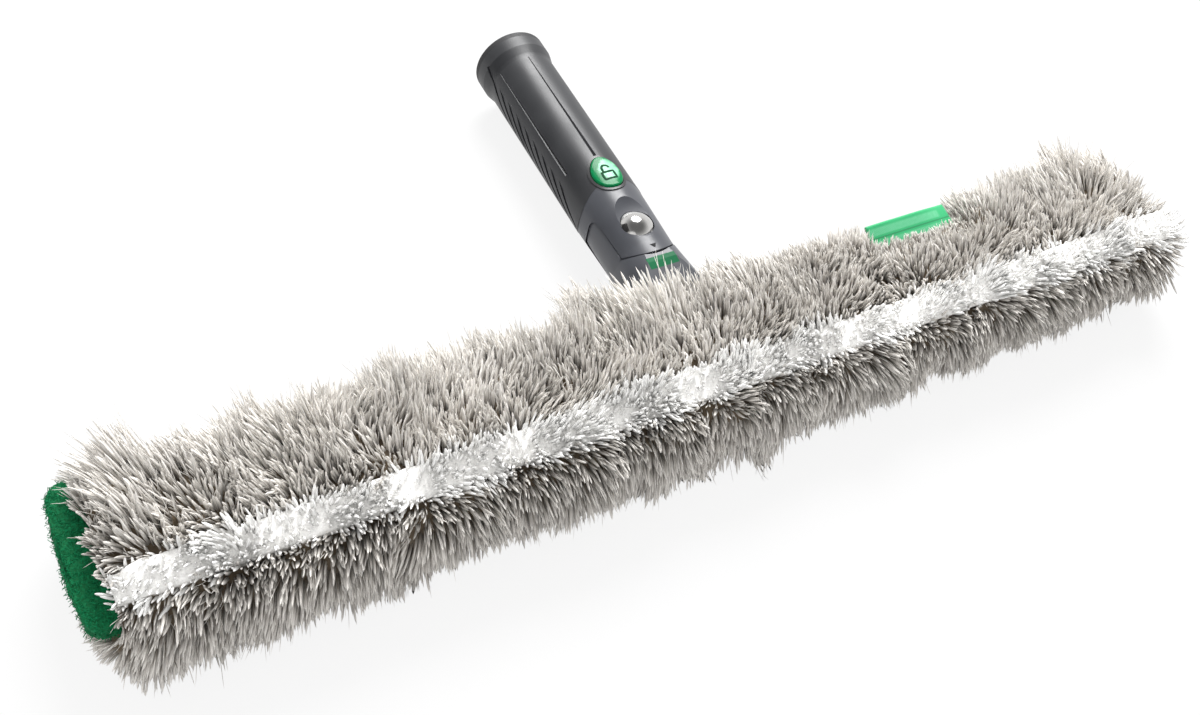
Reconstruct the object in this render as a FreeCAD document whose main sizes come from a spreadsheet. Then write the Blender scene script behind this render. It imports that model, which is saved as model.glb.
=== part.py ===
import FreeCAD, Part
import math
import os
import re

import Sketcher
from FreeCAD import Placement, Rotation, Vector

# Window scrubber: a T-shaped strip washer with a swivelling handle and a furry sleeve.
# Millimetres. X runs along the bar, Y from the bar to the open end of the handle, Z up.
# The origin lies under the bar's middle, on the surface that the sleeve rests on.

SIZES = [
    ("axis_height", 25.0, "height of the bar and handle axes above the surface"),
    ("slip", 0.15, "clearance between pieces that slide together and stay"),
    ("run_gap", 0.05, "radial clearance of the swivel bearing"),
    # crossbar
    ("bar_length", 508.0, "length of the extruded bar"),
    ("bar_flat", 26.0, "distance between the centres of the bar's two round edges"),
    ("bar_edge", 9.9, "radius of the bar's round edges"),
    ("bar_wall", 1.6, "wall of the extrusion"),
    ("slot_length", 60.0, "water slot, between its end centres"),
    ("slot_width", 7.0, "water slot"),
    ("slot_pitch", 116.0, "water slots along the bar"),
    ("slot_count", 4.0, "water slots along the bar"),
    ("cap_plate", 3.0, "outer plate of an end cap"),
    ("cap_plug", 12.0, "plug of an end cap inside the bar"),
    # neck
    ("pivot_reach", 75.5, "bar centre to swivel axis"),
    ("neck_radius", 17.0, "neck beside the head"),
    ("neck_base_radius", 20.5, "neck inside the sleeve"),
    ("neck_front", 16.2, "half thickness of the neck beside the head"),
    ("neck_base_half", 11.0, "half thickness of the neck at the bar"),
    ("neck_overlap", 6.0, "how far the saddle reaches round the bar's edge"),
    ("flare_end", 4.0, "end of the neck's flare, below the groove"),
    ("flare_rest", 0.25, "share of the flare that is left there"),
    ("neck_straight", 5.0, "straight sides of the neck, above the cheeks' lower end"),
    ("tongue_radius", 21.0, "round tongue of the neck about the swivel axis"),
    ("tongue_half", 9.0, "half thickness of the tongue"),
    ("tongue_round", 4.5, "round of the tongue's rim"),
    ("tang_width", 34.0, "tang of the neck inside the bar"),
    ("tang_depth", 28.0, "tang of the neck inside the bar"),
    ("screw_radius", 2.0, "neck screws"),
    ("screw_spread", 10.0, "neck screws each side of the middle"),
    ("screw_length", 13.0, "neck screws"),
    ("badge_width", 15.0, "plain inlay on the neck"),
    ("badge_length", 6.0, "plain inlay on the neck"),
    ("badge_back", 4.6, "the groove's edge to the inlay's middle"),
    ("badge_depth", 1.6, "thickness of the inlay below the neck's front"),
    # swivel
    ("cheek_radius", 18.4, "round lower end of the head's cheeks"),
    ("groove_gap", 1.0, "groove between cheeks and neck"),
    ("side_gap", 0.5, "gap between tongue and cheek, filled by a washer"),
    ("rim_gap", 0.4, "gap round the tongue's rim"),
    ("washer_radius", 9.5, "friction washer"),
    ("washer_thick", 0.8, "friction washer"),
    ("bush_wall", 1.5, "bearing bush in the tongue"),
    ("tube_radius", 4.8, "hollow pivot pin"),
    ("tube_bore", 3.8, "hollow pivot pin"),
    ("tube_floor", 1.5, "closed end of the pivot pin"),
    ("pin_seat", 2.5, "how deep the pivot pin sits in the rear cheek"),
    # swivel lock
    ("dome_radius", 7.8, "steel lock button"),
    ("dome_height", 3.6, "crown of the lock button"),
    ("dome_skirt", 1.0, "straight side of the lock button"),
    ("lock_travel", 2.0, "press of the lock button"),
    ("press_gap", 0.3, "clearance round the buttons"),
    ("hub_length", 5.6, "guide below the lock button"),
    ("stem_radius", 2.5, "stem of the lock button"),
    ("ring_radius", 4.5, "retaining ring on the stem"),
    ("ring_thick", 0.6, "retaining ring on the stem"),
    ("rear_margin", 0.6, "rear cap, wider than the pivot pin all round"),
    ("lock_turns", 5.0, "turns of the lock spring"),
    ("lock_wire", 0.3, "wire radius of the lock spring"),
    # head
    ("collar_radius", 27.0, "arched seam between head and grip, about the swivel axis"),
    ("waist_radius", 16.7, "head beside the neck"),
    ("waist_reach", 11.5, "swivel axis to the head's waist"),
    ("thumb_floor", 14.2, "lowest point of the thumb recess above the axis"),
    ("thumb_ball", 28.4, "radius of the thumb recess"),
    ("thumb_reach", 2.5, "swivel axis to the thumb recess's middle"),
    # handle
    ("handle_reach", 134.5, "swivel axis to the open end of the handle"),
    ("socket_radius", 11.5, "pole socket"),
    ("core_radius", 14.6, "socket tube"),
    ("grip_radius", 17.8, "soft grip"),
    ("flange_radius", 19.3, "flange at the open end"),
    ("flange_length", 6.5, "flange of the grip, without the end ring"),
    ("flange_blend", 6.0, "slope between grip and flange"),
    ("flange_hollow", 9.0, "round of the hollow below the flange"),
    ("flange_round", 1.4, "round of the flange's edges"),
    ("ring_length", 3.7, "end ring"),
    ("crease_start", 42.5, "swivel axis to the start of the long creases"),
    ("crease_length", 74.0, "long creases of the grip"),
    ("crease_side", 1.2, "side of the square that cuts a crease, at its deeper end"),
    ("crease_angle", 55.0, "outer creases, in degrees from the front"),
    ("notch_count", 9.0, "slanted notches on each side of the grip"),
    ("notch_pitch", 9.55, "slanted notches"),
    ("notch_first", 32.0, "swivel axis to the first notch's middle"),
    ("notch_width", 1.5, "slanted notches"),
    ("notch_depth", 0.9, "slanted notches"),
    ("notch_slant", 26.5, "slant of a notch in degrees from the handle axis"),
    # pole release
    ("egg_reach", 28.5, "swivel axis to the button's wide end centre"),
    ("egg_length", 7.9, "button, between its end centres"),
    ("egg_wide", 6.6, "radius of the button's wide end"),
    ("egg_narrow", 5.0, "radius of the button's narrow end"),
    ("egg_side", 12.0, "radius of the button's bowed sides"),
    ("frame_wall", 1.5, "frame round the button"),
    ("frame_lip", 0.4, "frame's height above the grip"),
    ("egg_proud", 1.3, "button's height above the grip"),
    ("egg_round", 0.9, "round of the button's top edge"),
    ("egg_base", 2.8, "button's underside below the grip's surface"),
    ("well_floor", 1.1, "wall left between the button's well and the socket"),
    ("release_travel", 2.0, "press of the release button"),
    ("plunger_radius", 2.0, "plunger under the button"),
    ("plunger_offset", 3.5, "plunger from the button's wide end centre"),
    ("spring_room", 2.0, "depth of the spring's seat inside the button"),
    ("spring_seat", 4.2, "radius of the spring's seat inside the button"),
    ("release_turns", 3.0, "turns of the release spring"),
    ("release_wire", 0.2, "wire radius of the release spring"),
    # sleeve
    ("cloth_gap", 0.3, "clearance between bar and cloth"),
    ("cloth_wall", 1.8, "base cloth"),
    ("neck_ease", 0.5, "cloth and pile stand this far off the neck"),
    ("pile_depth", 19.0, "pile on the base cloth"),
    ("pile_rise", 2.0, "pile stands this much higher above than below"),
    ("pile_end", 15.0, "pile beyond the cloth's ends"),
    ("pile_round", 15.0, "round of the pile's ends"),
    ("stripe_width", 15.0, "pale stripe in the pile"),
    ("stripe_angle", 24.0, "stripe's slant from straight up, in degrees"),
    ("pad_reach", 11.5, "scrub pad beyond the cloth's end"),
    ("pad_span", 63.0, "scrub pad along Y"),
    ("pad_thick", 9.0, "scrub pad"),
    ("pad_lift", 2.0, "pad's underside above the bar's middle plane"),
    ("pad_shift", 7.5, "pad's middle towards the handle"),
    ("pad_bow", 225.0, "radius of the pad's bowed outer edge"),
    ("pad_corner", 6.0, "pad's corners"),
    ("pad_round", 2.0, "pad's edges"),
    ("pad_bare", 2.0, "pile held back from the pad, inside the cloth's end"),
    ("pile_ease", 0.3, "pile stands this far off pad, label and strips"),
    ("label_start", 108.0, "label's near end along X"),
    ("label_width", 52.0, "label along X"),
    ("label_length", 17.5, "label from its seam"),
    ("label_thick", 1.0, "folded label"),
    ("label_tilt", 24.0, "label's rise towards the handle, in degrees"),
    ("strip_start", 44.0, "closure strips' near end along X"),
    ("strip_length", 180.0, "closure strips"),
    ("strip_width", 14.0, "closure strips"),
    ("strip_thick", 1.2, "hook strip and loop strip, each"),
    ("flap_width", 20.0, "closure flap"),
    ("flap_thick", 1.4, "closure flap"),
]

NAMES = {alias for alias, size, note in SIZES}
WORD = re.compile(r"[a-z]+(?:_[a-z]+)*")
FRONT, RIGHT, ALONG = Vector(0, 0, 1), Vector(1, 0, 0), Vector(0, 1, 0)
NEAR = 0.01  # closer than this counts as the same place

doc = FreeCAD.newDocument("window_scrubber")
sheet = doc.addObject("Spreadsheet::Sheet", "dims")
for row, (alias, size, note) in enumerate(SIZES, start=1):
    sheet.set(f"A{row}", note)
    sheet.set(f"B{row}", str(size))
    sheet.setAlias(f"B{row}", alias)
doc.recompute()

# Places that several pieces share, as formulas in the sheet's words.
CLOTH_INNER = "(bar_edge + cloth_gap)"
CLOTH_OUTER = "(bar_edge + cloth_gap + cloth_wall)"
CLOTH_HALF = "(bar_length / 2 + cap_plate + cloth_gap + cloth_wall)"
PILE_RADIUS = "(bar_edge + cloth_gap + cloth_wall + pile_depth)"
PILE_HALF = "(bar_length / 2 + cap_plate + cloth_gap + cloth_wall + pile_end)"
TANG_HALF = "(bar_edge - bar_wall - slip)"
SLOT_HALF = "(tongue_half + side_gap)"
GRIP_START = "(pivot_reach + collar_radius)"
GRIP_END = "(pivot_reach + handle_reach - ring_length)"
HANDLE_END = "(pivot_reach + handle_reach)"
WELL_Z = "(axis_height + socket_radius + well_floor)"
DOME_BASE = "(axis_height + thumb_floor - press_gap)"
LOCK_WELL = "(axis_height + thumb_floor - press_gap - lock_travel - slip)"
PIN_BACK = "(axis_height - tongue_half - side_gap - pin_seat)"
REAR_WELL = "(tube_radius + rear_margin)"
ALL_ROUND = "(3 * flange_radius)"


def formula(text):
    """A formula in the sheet's words, with the sheet's name put before each of them."""
    return WORD.sub(lambda word: "dims." + word[0] if word[0] in NAMES else word[0], text)


def size_of(text):
    """The present value of a formula."""
    return float(sheet.evalExpression(formula(text)))


def bind(thing, **sizes):
    """Tie properties to formulas; a double underscore stands for a dot."""
    for name, text in sizes.items():
        thing.setExpression(name.replace("__", "."), formula(text))
    return thing


def place(thing, x="0", y="0", z="0"):
    return bind(thing, Placement__Base__x=x, Placement__Base__y=y, Placement__Base__z=z)


def turn(thing, axis, angle):
    """Turn a primitive about an axis through its own base point."""
    thing.Placement = Placement(Vector(), Rotation(axis, 1))
    return bind(thing, Placement__Rotation__Angle=angle)


def block(name, length, width, height, x, y, z):
    made = doc.addObject("Part::Box", name)
    bind(made, Length=length, Width=width, Height=height)
    return place(made, x, y, z)


def rod(name, axis, radius, length, x="0", y="0", z="0"):
    """A cylinder from its base point along X, Y or Z."""
    made = doc.addObject("Part::Cylinder", name)
    turns = {"X": Rotation(ALONG, 90), "Y": Rotation(RIGHT, -90), "Z": Rotation()}
    made.Placement = Placement(Vector(), turns[axis])
    bind(made, Radius=radius, Height=length)
    return place(made, x, y, z)


def fuse(name, *pieces):
    made = doc.addObject("Part::MultiFuse", name)
    made.Shapes = list(pieces)
    return made


def common(name, *pieces):
    made = doc.addObject("Part::MultiCommon", name)
    made.Shapes = list(pieces)
    return made


def cut(name, base, *tools):
    made = doc.addObject("Part::Cut", name)
    made.Base = base
    made.Tool = tools[0] if len(tools) == 1 else fuse(name + "_cutters", *tools)
    return made


def fillet(name, base, radius, wanted):
    """Round the edges of a finished solid that the test picks by their middle point."""
    doc.recompute()
    made = doc.addObject("Part::Fillet", name)
    made.Base = base
    amount = size_of(radius)
    chosen = []
    for number, edge in enumerate(base.Shape.Edges, start=1):
        middle = edge.valueAt((edge.FirstParameter + edge.LastParameter) / 2)
        if wanted(edge, middle):
            chosen.append((number, amount, amount))
    made.Edges = chosen
    return made


def upright(edge):
    """Whether an edge starts off steeply."""
    return abs(edge.tangentAt(edge.FirstParameter).z) > 0.7


def new_body(name):
    return doc.addObject("PartDesign::Body", name)


def new_sketch(body, name, plane, x="0", y="0", z="0", spin=0):
    """A sketch on one of the body's own origin planes, moved in the plane's own directions."""
    sketch = body.newObject("Sketcher::SketchObject", name)
    support = [item for item in body.Origin.OriginFeatures if item.Role == plane][0]
    sketch.AttachmentSupport = [(support, "")]
    sketch.MapMode = "FlatFace"
    sketch.AttachmentOffset = Placement(Vector(), Rotation(FRONT, spin))
    base = {"x": x, "y": y, "z": z}
    for axis, text in base.items():
        sketch.setExpression(f"AttachmentOffset.Base.{axis}", formula(text))
    return sketch


def pin(sketch, kind, spot, text):
    """Tie a sketch measure to a formula."""
    number = sketch.addConstraint(Sketcher.Constraint(kind, *spot, size_of(text)))
    sketch.setExpression(f"Constraints[{number}]", formula(text))


def outline(sketch, corners):
    """A closed outline of straight lines through corners given as formulas."""
    spots = [Vector(size_of(x), size_of(y), 0) for x, y in corners]
    count = len(spots)
    first = sketch.GeometryCount
    for number in range(count):
        sketch.addGeometry(Part.LineSegment(spots[number], spots[(number + 1) % count]))
    for number in range(count):
        follower = first + (number + 1) % count
        sketch.addConstraint(Sketcher.Constraint("Coincident", first + number, 2, follower, 1))
    for number, (x, y) in enumerate(corners):
        pin(sketch, "DistanceX", (-1, 1, first + number, 1), x)
        pin(sketch, "DistanceY", (-1, 1, first + number, 1), y)


def oblong(sketch, near, far, near_radius, far_radius):
    """Two round ends with centres on the sketch's X axis, joined by the lines that touch both."""
    start, end = Vector(size_of(near), 0, 0), Vector(size_of(far), 0, 0)
    small, large = size_of(near_radius), size_of(far_radius)
    lean = math.acos((small - large) / (end.x - start.x))
    side = Vector(math.cos(lean), math.sin(lean), 0)
    below = Vector(side.x, -side.y, 0)
    first = sketch.GeometryCount
    for centre, radius, begin, finish in (
        (start, small, lean, 2 * math.pi - lean),
        (end, large, -lean, lean),
    ):
        circle = Part.Circle(centre, FRONT, radius)
        sketch.addGeometry(Part.ArcOfCircle(circle, begin, finish))
    sketch.addGeometry(Part.LineSegment(start + below * small, end + below * large))
    sketch.addGeometry(Part.LineSegment(end + side * large, start + side * small))
    joins = ((0, 2, 2, 1), (2, 2, 1, 1), (1, 2, 3, 1), (3, 2, 0, 1))
    for one, one_end, other, other_end in joins:
        ends = (first + one, one_end, first + other, other_end)
        sketch.addConstraint(Sketcher.Constraint("Tangent", *ends))
    for arc in (first, first + 1):
        sketch.addConstraint(Sketcher.Constraint("PointOnObject", arc, 3, -1))
    pin(sketch, "DistanceX", (-1, 1, first, 3), near)
    pin(sketch, "DistanceX", (-1, 1, first + 1, 3), far)
    pin(sketch, "Radius", (first,), near_radius)
    pin(sketch, "Radius", (first + 1,), far_radius)


def egg(sketch, near, far, near_radius, far_radius, side_radius):
    """An egg with its two end centres on the sketch's X axis and bowed sides that touch both ends."""
    start, end = Vector(size_of(near), 0, 0), Vector(size_of(far), 0, 0)
    wide, narrow, bow = size_of(near_radius), size_of(far_radius), size_of(side_radius)
    length, to_start, to_end = end.x - start.x, bow - wide, bow - narrow
    lean = math.acos((to_start ** 2 + length ** 2 - to_end ** 2) / (2 * to_start * length))
    first = sketch.GeometryCount
    upper = start + Vector(math.cos(lean), -math.sin(lean), 0) * to_start
    lower = start + Vector(math.cos(lean), math.sin(lean), 0) * to_start
    back, front = math.pi - lean, math.atan2(-upper.y, end.x - upper.x)
    for centre, radius, begin, finish in (
        (start, wide, back, 2 * math.pi - back),
        (lower, bow, -back, -front),
        (end, narrow, -front, front),
        (upper, bow, front, back),
    ):
        sketch.addGeometry(Part.ArcOfCircle(Part.Circle(centre, FRONT, radius), begin, finish))
    for arc in range(4):
        ends = (first + arc, 2, first + (arc + 1) % 4, 1)
        sketch.addConstraint(Sketcher.Constraint("Tangent", *ends))
    for arc, centre, radius in ((first, near, near_radius), (first + 2, far, far_radius)):
        sketch.addConstraint(Sketcher.Constraint("PointOnObject", arc, 3, -1))
        pin(sketch, "DistanceX", (-1, 1, arc, 3), centre)
        pin(sketch, "Radius", (arc,), radius)
    for arc in (first + 1, first + 3):
        pin(sketch, "Radius", (arc,), side_radius)


def pad(body, sketch, length, symmetric=False, backwards=False):
    made = body.newObject("PartDesign::Pad", sketch.Name + "_pad")
    made.Profile = sketch
    if symmetric:
        made.SideType = "Symmetric"
    made.Reversed = backwards
    bind(made, Length=length)
    return made


def revolve(name, plane, corners, z="0", x="0", y="0"):
    """A solid of revolution about the sketch's upright axis."""
    body = new_body(name)
    sketch = new_sketch(body, name + "_profile", plane, x=x, y=y, z=z)
    outline(sketch, corners)
    made = body.newObject("PartDesign::Revolution", name + "_turned")
    made.Profile = sketch
    made.ReferenceAxis = (sketch, ["V_Axis"])
    made.Angle = 360
    return body


def bar_prism(name, radius, half_length, rise="0"):
    """A closed prism along X with the bar's oblong section."""
    body = new_body(name)
    sketch = new_sketch(body, name + "_section", "YZ_Plane", y="axis_height + " + rise)
    oblong(sketch, "-bar_flat / 2", "bar_flat / 2", radius, radius)
    pad(body, sketch, "2 * " + half_length, symmetric=True)
    return body


def egg_prism(name, margin, bottom, height):
    """An upright prism with the release button's egg outline, widened by a margin."""
    body = new_body(name)
    sketch = new_sketch(body, name + "_outline", "XY_Plane", z=bottom, spin=90)
    near = "pivot_reach + egg_reach"
    sizes = [radius + " + " + margin for radius in ("egg_wide", "egg_narrow", "egg_side")]
    egg(sketch, near, near + " + egg_length", *sizes)
    pad(body, sketch, height)
    return body


def along_handle(name, radius):
    """A long round bar on the handle's axis, to trim what follows the grip's surface."""
    return rod(name, "Y", radius, HANDLE_END, z="axis_height")


def six_sided(centre, way, radius):
    """A closed ring of six straight sides, square to the way that a coil starts."""
    up = way.cross(RIGHT).normalize()
    ring = []
    for corner in range(7):
        angle = (corner % 6) * math.pi / 3
        ring.append(centre + RIGHT * (radius * math.cos(angle)) + up * (radius * math.sin(angle)))
    return Part.makePolygon(ring)


def smooth_arcs(start, start_way, end, end_way):
    """Two arcs that join two points smoothly."""
    gap = end - start
    ways = start_way + end_way
    bend = 2 * (1 - start_way.dot(end_way))
    reach = (-gap.dot(ways) + math.sqrt(gap.dot(ways) ** 2 + bend * gap.dot(gap))) / bend
    first, second = start + start_way * reach, end - end_way * reach
    meeting = (first + second) / 2
    edges = []
    for begin, corner, finish in ((start, first, meeting), (meeting, second, end)):
        chord = (finish - begin).normalize()
        weight = chord.dot((corner - begin).normalize())
        middle = (begin + corner * (2 * weight) + finish) / (2 + 2 * weight)
        edges.append(Part.Arc(begin, middle, finish).toShape())
    return edges


def coil_spring(label, radius, wire, turns, bottom, top, y):
    """An upright coil spring of one unbroken wire."""
    radius, wire, turns = size_of(radius), size_of(wire), size_of(turns)
    low, high = size_of(bottom) + wire, size_of(top) - wire
    rise = (high - low) / (2 * math.pi * turns)
    centre = Vector(0, size_of(y), low)

    def spot(angle):
        return centre + Vector(radius * math.cos(angle), radius * math.sin(angle), rise * angle)

    def way(angle):
        return Vector(-radius * math.sin(angle), radius * math.cos(angle), rise).normalize()

    edges = []
    for half in range(int(2 * turns)):
        begin, finish = half * math.pi, (half + 1) * math.pi
        edges += smooth_arcs(spot(begin), way(begin), spot(finish), way(finish))
    path = Part.Wire(edges)
    section = six_sided(spot(0), way(0), wire)
    made = doc.addObject("Part::Feature", label)
    made.Shape = path.makePipeShell([section], True, False)
    made.Placement = Placement()
    points = [spot(step * math.pi / 18) for step in range(int(36 * turns) + 1)]
    gaps = [one.distanceToPoint(other) for index, one in enumerate(points) for other in points[index + 18:]]
    print(label, "least gap between turns", round(min(gaps) - 2 * wire, 2))
    return made


def make_crossbar():
    body = new_body("bar_extrusion")
    section = new_sketch(body, "bar_section", "YZ_Plane", y="axis_height")
    oblong(section, "-bar_flat / 2", "bar_flat / 2", "bar_edge", "bar_edge")
    oblong(section, "-bar_flat / 2", "bar_flat / 2", "bar_edge - bar_wall", "bar_edge - bar_wall")
    pad(body, section, "bar_length", symmetric=True)
    slot = new_sketch(body, "water_slot", "XY_Plane", x="-(slot_count - 1) / 2 * slot_pitch", z="axis_height")
    oblong(slot, "-slot_length / 2", "slot_length / 2", "slot_width / 2", "slot_width / 2")
    pocket = body.newObject("PartDesign::Pocket", "water_slot_pocket")
    pocket.Profile = slot
    pocket.SideType = "Symmetric"
    bind(pocket, Length="4 * bar_edge")
    row = body.newObject("PartDesign::LinearPattern", "water_slot_row")
    row.Originals = [pocket]
    row.Direction = (slot, ["H_Axis"])
    bind(row, Length="(slot_count - 1) * slot_pitch", Occurrences="slot_count")
    body.Tip = row
    mouth = block(
        "tang_mouth", "tang_width + 2 * slip", "bar_edge", "2 * (" + TANG_HALF + " + slip)",
        "-tang_width / 2 - slip", "bar_flat / 2", "axis_height - " + TANG_HALF + " - slip",
    )
    return cut("crossbar", body, mouth, *screw_shapes("bar_hole", "slip"))


def screw_shapes(name, margin):
    """The two countersunk neck screws, or with a margin the holes that they sit in."""
    shapes = []
    for side in (-1, 1):
        across = f"{side} * screw_spread"
        low = "axis_height - bar_edge"
        shank = rod(f"{name}_{side + 1}", "Z", "screw_radius + " + margin, "screw_length", across, "0", low)
        head = doc.addObject("Part::Cone", f"{name}_head_{side + 1}")
        bind(head, Radius1="2 * screw_radius + " + margin, Radius2="screw_radius + " + margin)
        bind(head, Height="bar_wall")
        place(head, across, "0", low)
        shapes += [shank, head]
    return shapes


def make_neck_screws():
    shank_left, head_left, shank_right, head_right = screw_shapes("neck_screw", "0")
    left = fuse("neck_screw_left", shank_left, head_left)
    right = fuse("neck_screw_right", shank_right, head_right)
    made = doc.addObject("Part::Compound", "neck_screws")
    made.Links = [left, right]
    return made


def make_end_cap(label, side):
    """A plate over the bar's end with a plug inside it; side is 1 for the right end, -1 for the left."""
    body = new_body(label)
    outer = new_sketch(body, label + "_plate", "YZ_Plane", y="axis_height", z=f"{side} * bar_length / 2")
    oblong(outer, "-bar_flat / 2", "bar_flat / 2", "bar_edge", "bar_edge")
    pad(body, outer, "cap_plate", backwards=side < 0)
    inner = new_sketch(body, label + "_plug", "YZ_Plane", y="axis_height", z=f"{side} * bar_length / 2")
    oblong(inner, "-bar_flat / 2", "bar_flat / 2", TANG_HALF, TANG_HALF)
    pad(body, inner, "cap_plug", backwards=side > 0)
    return body


def make_neck_form():
    """The neck's outer form: a flared round body that thins towards the bar."""
    start, end = "bar_flat / 2 + bar_edge - neck_overlap", "pivot_reach"
    flare = "pivot_reach - cheek_radius - groove_gap - flare_end"
    round_form = revolve("neck_round", "XY_Plane", [
        ("0", start),
        ("neck_base_radius", start),
        ("neck_base_radius", "bar_flat / 2 + bar_edge"),
        ("neck_radius + flare_rest * (neck_base_radius - neck_radius)", flare),
        ("neck_radius", "pivot_reach - cheek_radius + neck_straight"),
        ("neck_radius", end),
        ("0", end),
    ], z="axis_height")
    side = new_body("neck_side")
    profile = new_sketch(side, "neck_side_profile", "YZ_Plane", y="axis_height")
    outline(profile, [
        (start, "-neck_base_half"),
        ("bar_flat / 2 + bar_edge", "-neck_base_half"),
        (flare, "-neck_front"),
        (end, "-neck_front"),
        (end, "neck_front"),
        (flare, "neck_front"),
        ("bar_flat / 2 + bar_edge", "neck_base_half"),
        (start, "neck_base_half"),
    ])
    pad(side, profile, "3 * neck_base_radius", symmetric=True)
    return common("neck_form", round_form, side)


def badge_prism(name):
    """The inlay's block, a set way back from the groove that the head turns in."""
    start = "pivot_reach - cheek_radius - groove_gap - badge_back - badge_length / 2"
    return block(
        name, "badge_width", "badge_length", "neck_base_radius",
        "-badge_width / 2", start, "axis_height + neck_front - badge_depth",
    )


def rimmed_disc(name, rim_margin, side_margin):
    """The tongue's disc with its rounded rim, or with margins the room that it turns in."""
    half = "(tongue_half + " + side_margin + ")"
    disc = rod(name + "_sharp", "Z", "tongue_radius + " + rim_margin, "2 * " + half,
               "0", "pivot_reach", "axis_height - " + half)
    return fillet(name, disc, "tongue_round + " + rim_margin,
                  lambda edge, spot: edge.Curve.TypeId == "Part::GeomCircle")


def make_neck(form):
    low = "axis_height - flange_radius"
    recess = rod("neck_recess", "Z", "cheek_radius + groove_gap", ALL_ROUND, "0", "pivot_reach", low)
    shoulder = cut("neck_shoulder", form, recess, bar_prism("bar_seat", "(bar_edge + slip)", "tang_width"))
    disc = rimmed_disc("tongue_disc", "0", "0")
    sides = rod("tongue_sides", "Y", "waist_radius", "pivot_reach + 2 * tongue_radius", z="axis_height")
    tongue = common("tongue", disc, sides)
    tang_end = "bar_flat / 2 + bar_edge + slip - tang_depth"
    tang = block(
        "tang", "tang_width", "tang_depth + neck_overlap", "2 * " + TANG_HALF,
        "-tang_width / 2", tang_end, "axis_height - " + TANG_HALF,
    )
    bore = rod(
        "bush_hole", "Z", "tube_radius + run_gap + bush_wall", "4 * tongue_half",
        "0", "pivot_reach", "axis_height - 2 * tongue_half",
    )
    seats = washer_shapes("washer_seat", "washer_radius", "washer_thick")
    whole = fuse("neck_whole", shoulder, tongue, tang)
    return cut("neck", whole, bore, badge_prism("badge_pocket"), *seats, *screw_shapes("neck_hole", "0"))


def washer_shapes(name, radius, thick):
    """One disc on each side of the tongue, reaching into the gap beside the cheeks."""
    rear_z = "axis_height - " + SLOT_HALF + " + run_gap"
    front_z = "axis_height + " + SLOT_HALF + " - run_gap - washer_thick"
    return [
        rod(name + "_rear", "Z", radius, thick, "0", "pivot_reach", rear_z),
        rod(name + "_front", "Z", radius, thick, "0", "pivot_reach", front_z),
    ]


def make_washers():
    hole = "tube_radius + run_gap + bush_wall"
    rings = []
    for disc in washer_shapes("washer_disc", "washer_radius", "washer_thick"):
        eye = rod(disc.Name + "_eye", "Z", hole, ALL_ROUND, "0", "pivot_reach", "axis_height - flange_radius")
        rings.append(cut(disc.Name + "_ring", disc, eye))
    made = doc.addObject("Part::Compound", "friction_washers")
    made.Links = rings
    return made


def make_bush():
    low, length = "axis_height - tongue_half", "2 * tongue_half"
    outer = rod("bush_outer", "Z", "tube_radius + run_gap + bush_wall", length, "0", "pivot_reach", low)
    inner = rod("bush_inner", "Z", "tube_radius + run_gap", length, "0", "pivot_reach", low)
    return cut("pivot_bush", outer, inner)


def make_badge(form):
    return common("badge_plate", form, badge_prism("badge_blank"))


def make_head_form(name):
    """The round outer form that the head's cheeks are cut from."""
    return revolve(name, "XY_Plane", [
        ("0", "pivot_reach - cheek_radius - groove_gap"),
        ("waist_radius", "pivot_reach - cheek_radius - groove_gap"),
        ("waist_radius", "pivot_reach - waist_reach"),
        ("grip_radius", GRIP_START),
        ("0", GRIP_START),
    ], z="axis_height")


def make_swivel_head():
    low = "axis_height - flange_radius"
    upper = common(
        "head_upper",
        rod("head_arch", "Z", "collar_radius", "2 * flange_radius", "0", "pivot_reach", low),
        block("head_half", ALL_ROUND, "collar_radius", "2 * flange_radius",
              "-1.5 * flange_radius", "pivot_reach", low),
    )
    lower = rod("head_lower", "Z", "cheek_radius", "2 * flange_radius", "0", "pivot_reach", low)
    blank = common("head_blank", make_head_form("head_form"), fuse("head_plan", upper, lower))
    spigot = rod("head_spigot", "Y", "core_radius", "collar_radius - tongue_radius",
                 "0", "pivot_reach + tongue_radius", "axis_height")
    slot_z = "axis_height - " + SLOT_HALF
    slot_round = rimmed_disc("slot_round", "rim_gap", "side_gap")
    slot_open = block("slot_open", ALL_ROUND, "2 * cheek_radius", "2 * " + SLOT_HALF,
                      "-1.5 * flange_radius", "pivot_reach - 2 * cheek_radius", slot_z)
    pin_hole = rod("pin_hole", "Z", "tube_radius", "2 * flange_radius", "0", "pivot_reach", low)
    lock_well = rod("lock_well", "Z", "dome_radius + press_gap", "flange_radius",
                    "0", "pivot_reach", LOCK_WELL)
    rear_well = rod("rear_well", "Z", REAR_WELL, PIN_BACK + " - axis_height + flange_radius",
                    "0", "pivot_reach", low)
    thumb = doc.addObject("Part::Sphere", "thumb_recess")
    bind(thumb, Radius="thumb_ball")
    place(thumb, "0", "pivot_reach + thumb_reach", "axis_height + thumb_floor + thumb_ball")
    well = egg_prism("head_well", "frame_wall", WELL_Z, "flange_radius")
    whole = fuse("head_whole", blank, spigot)
    return cut("swivel_head", whole, slot_round, slot_open, pin_hole, lock_well, rear_well, thumb, well)


def make_rear_cap():
    """A plain disc that closes the rear well, flush with the head's back."""
    inner_face = PIN_BACK + " - ring_thick - lock_travel - press_gap"
    blank = rod("rear_cap_blank", "Z", REAR_WELL, inner_face + " - axis_height + flange_radius",
                "0", "pivot_reach", "axis_height - flange_radius")
    return common("rear_cap", make_head_form("rear_cap_form"), blank)


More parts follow.
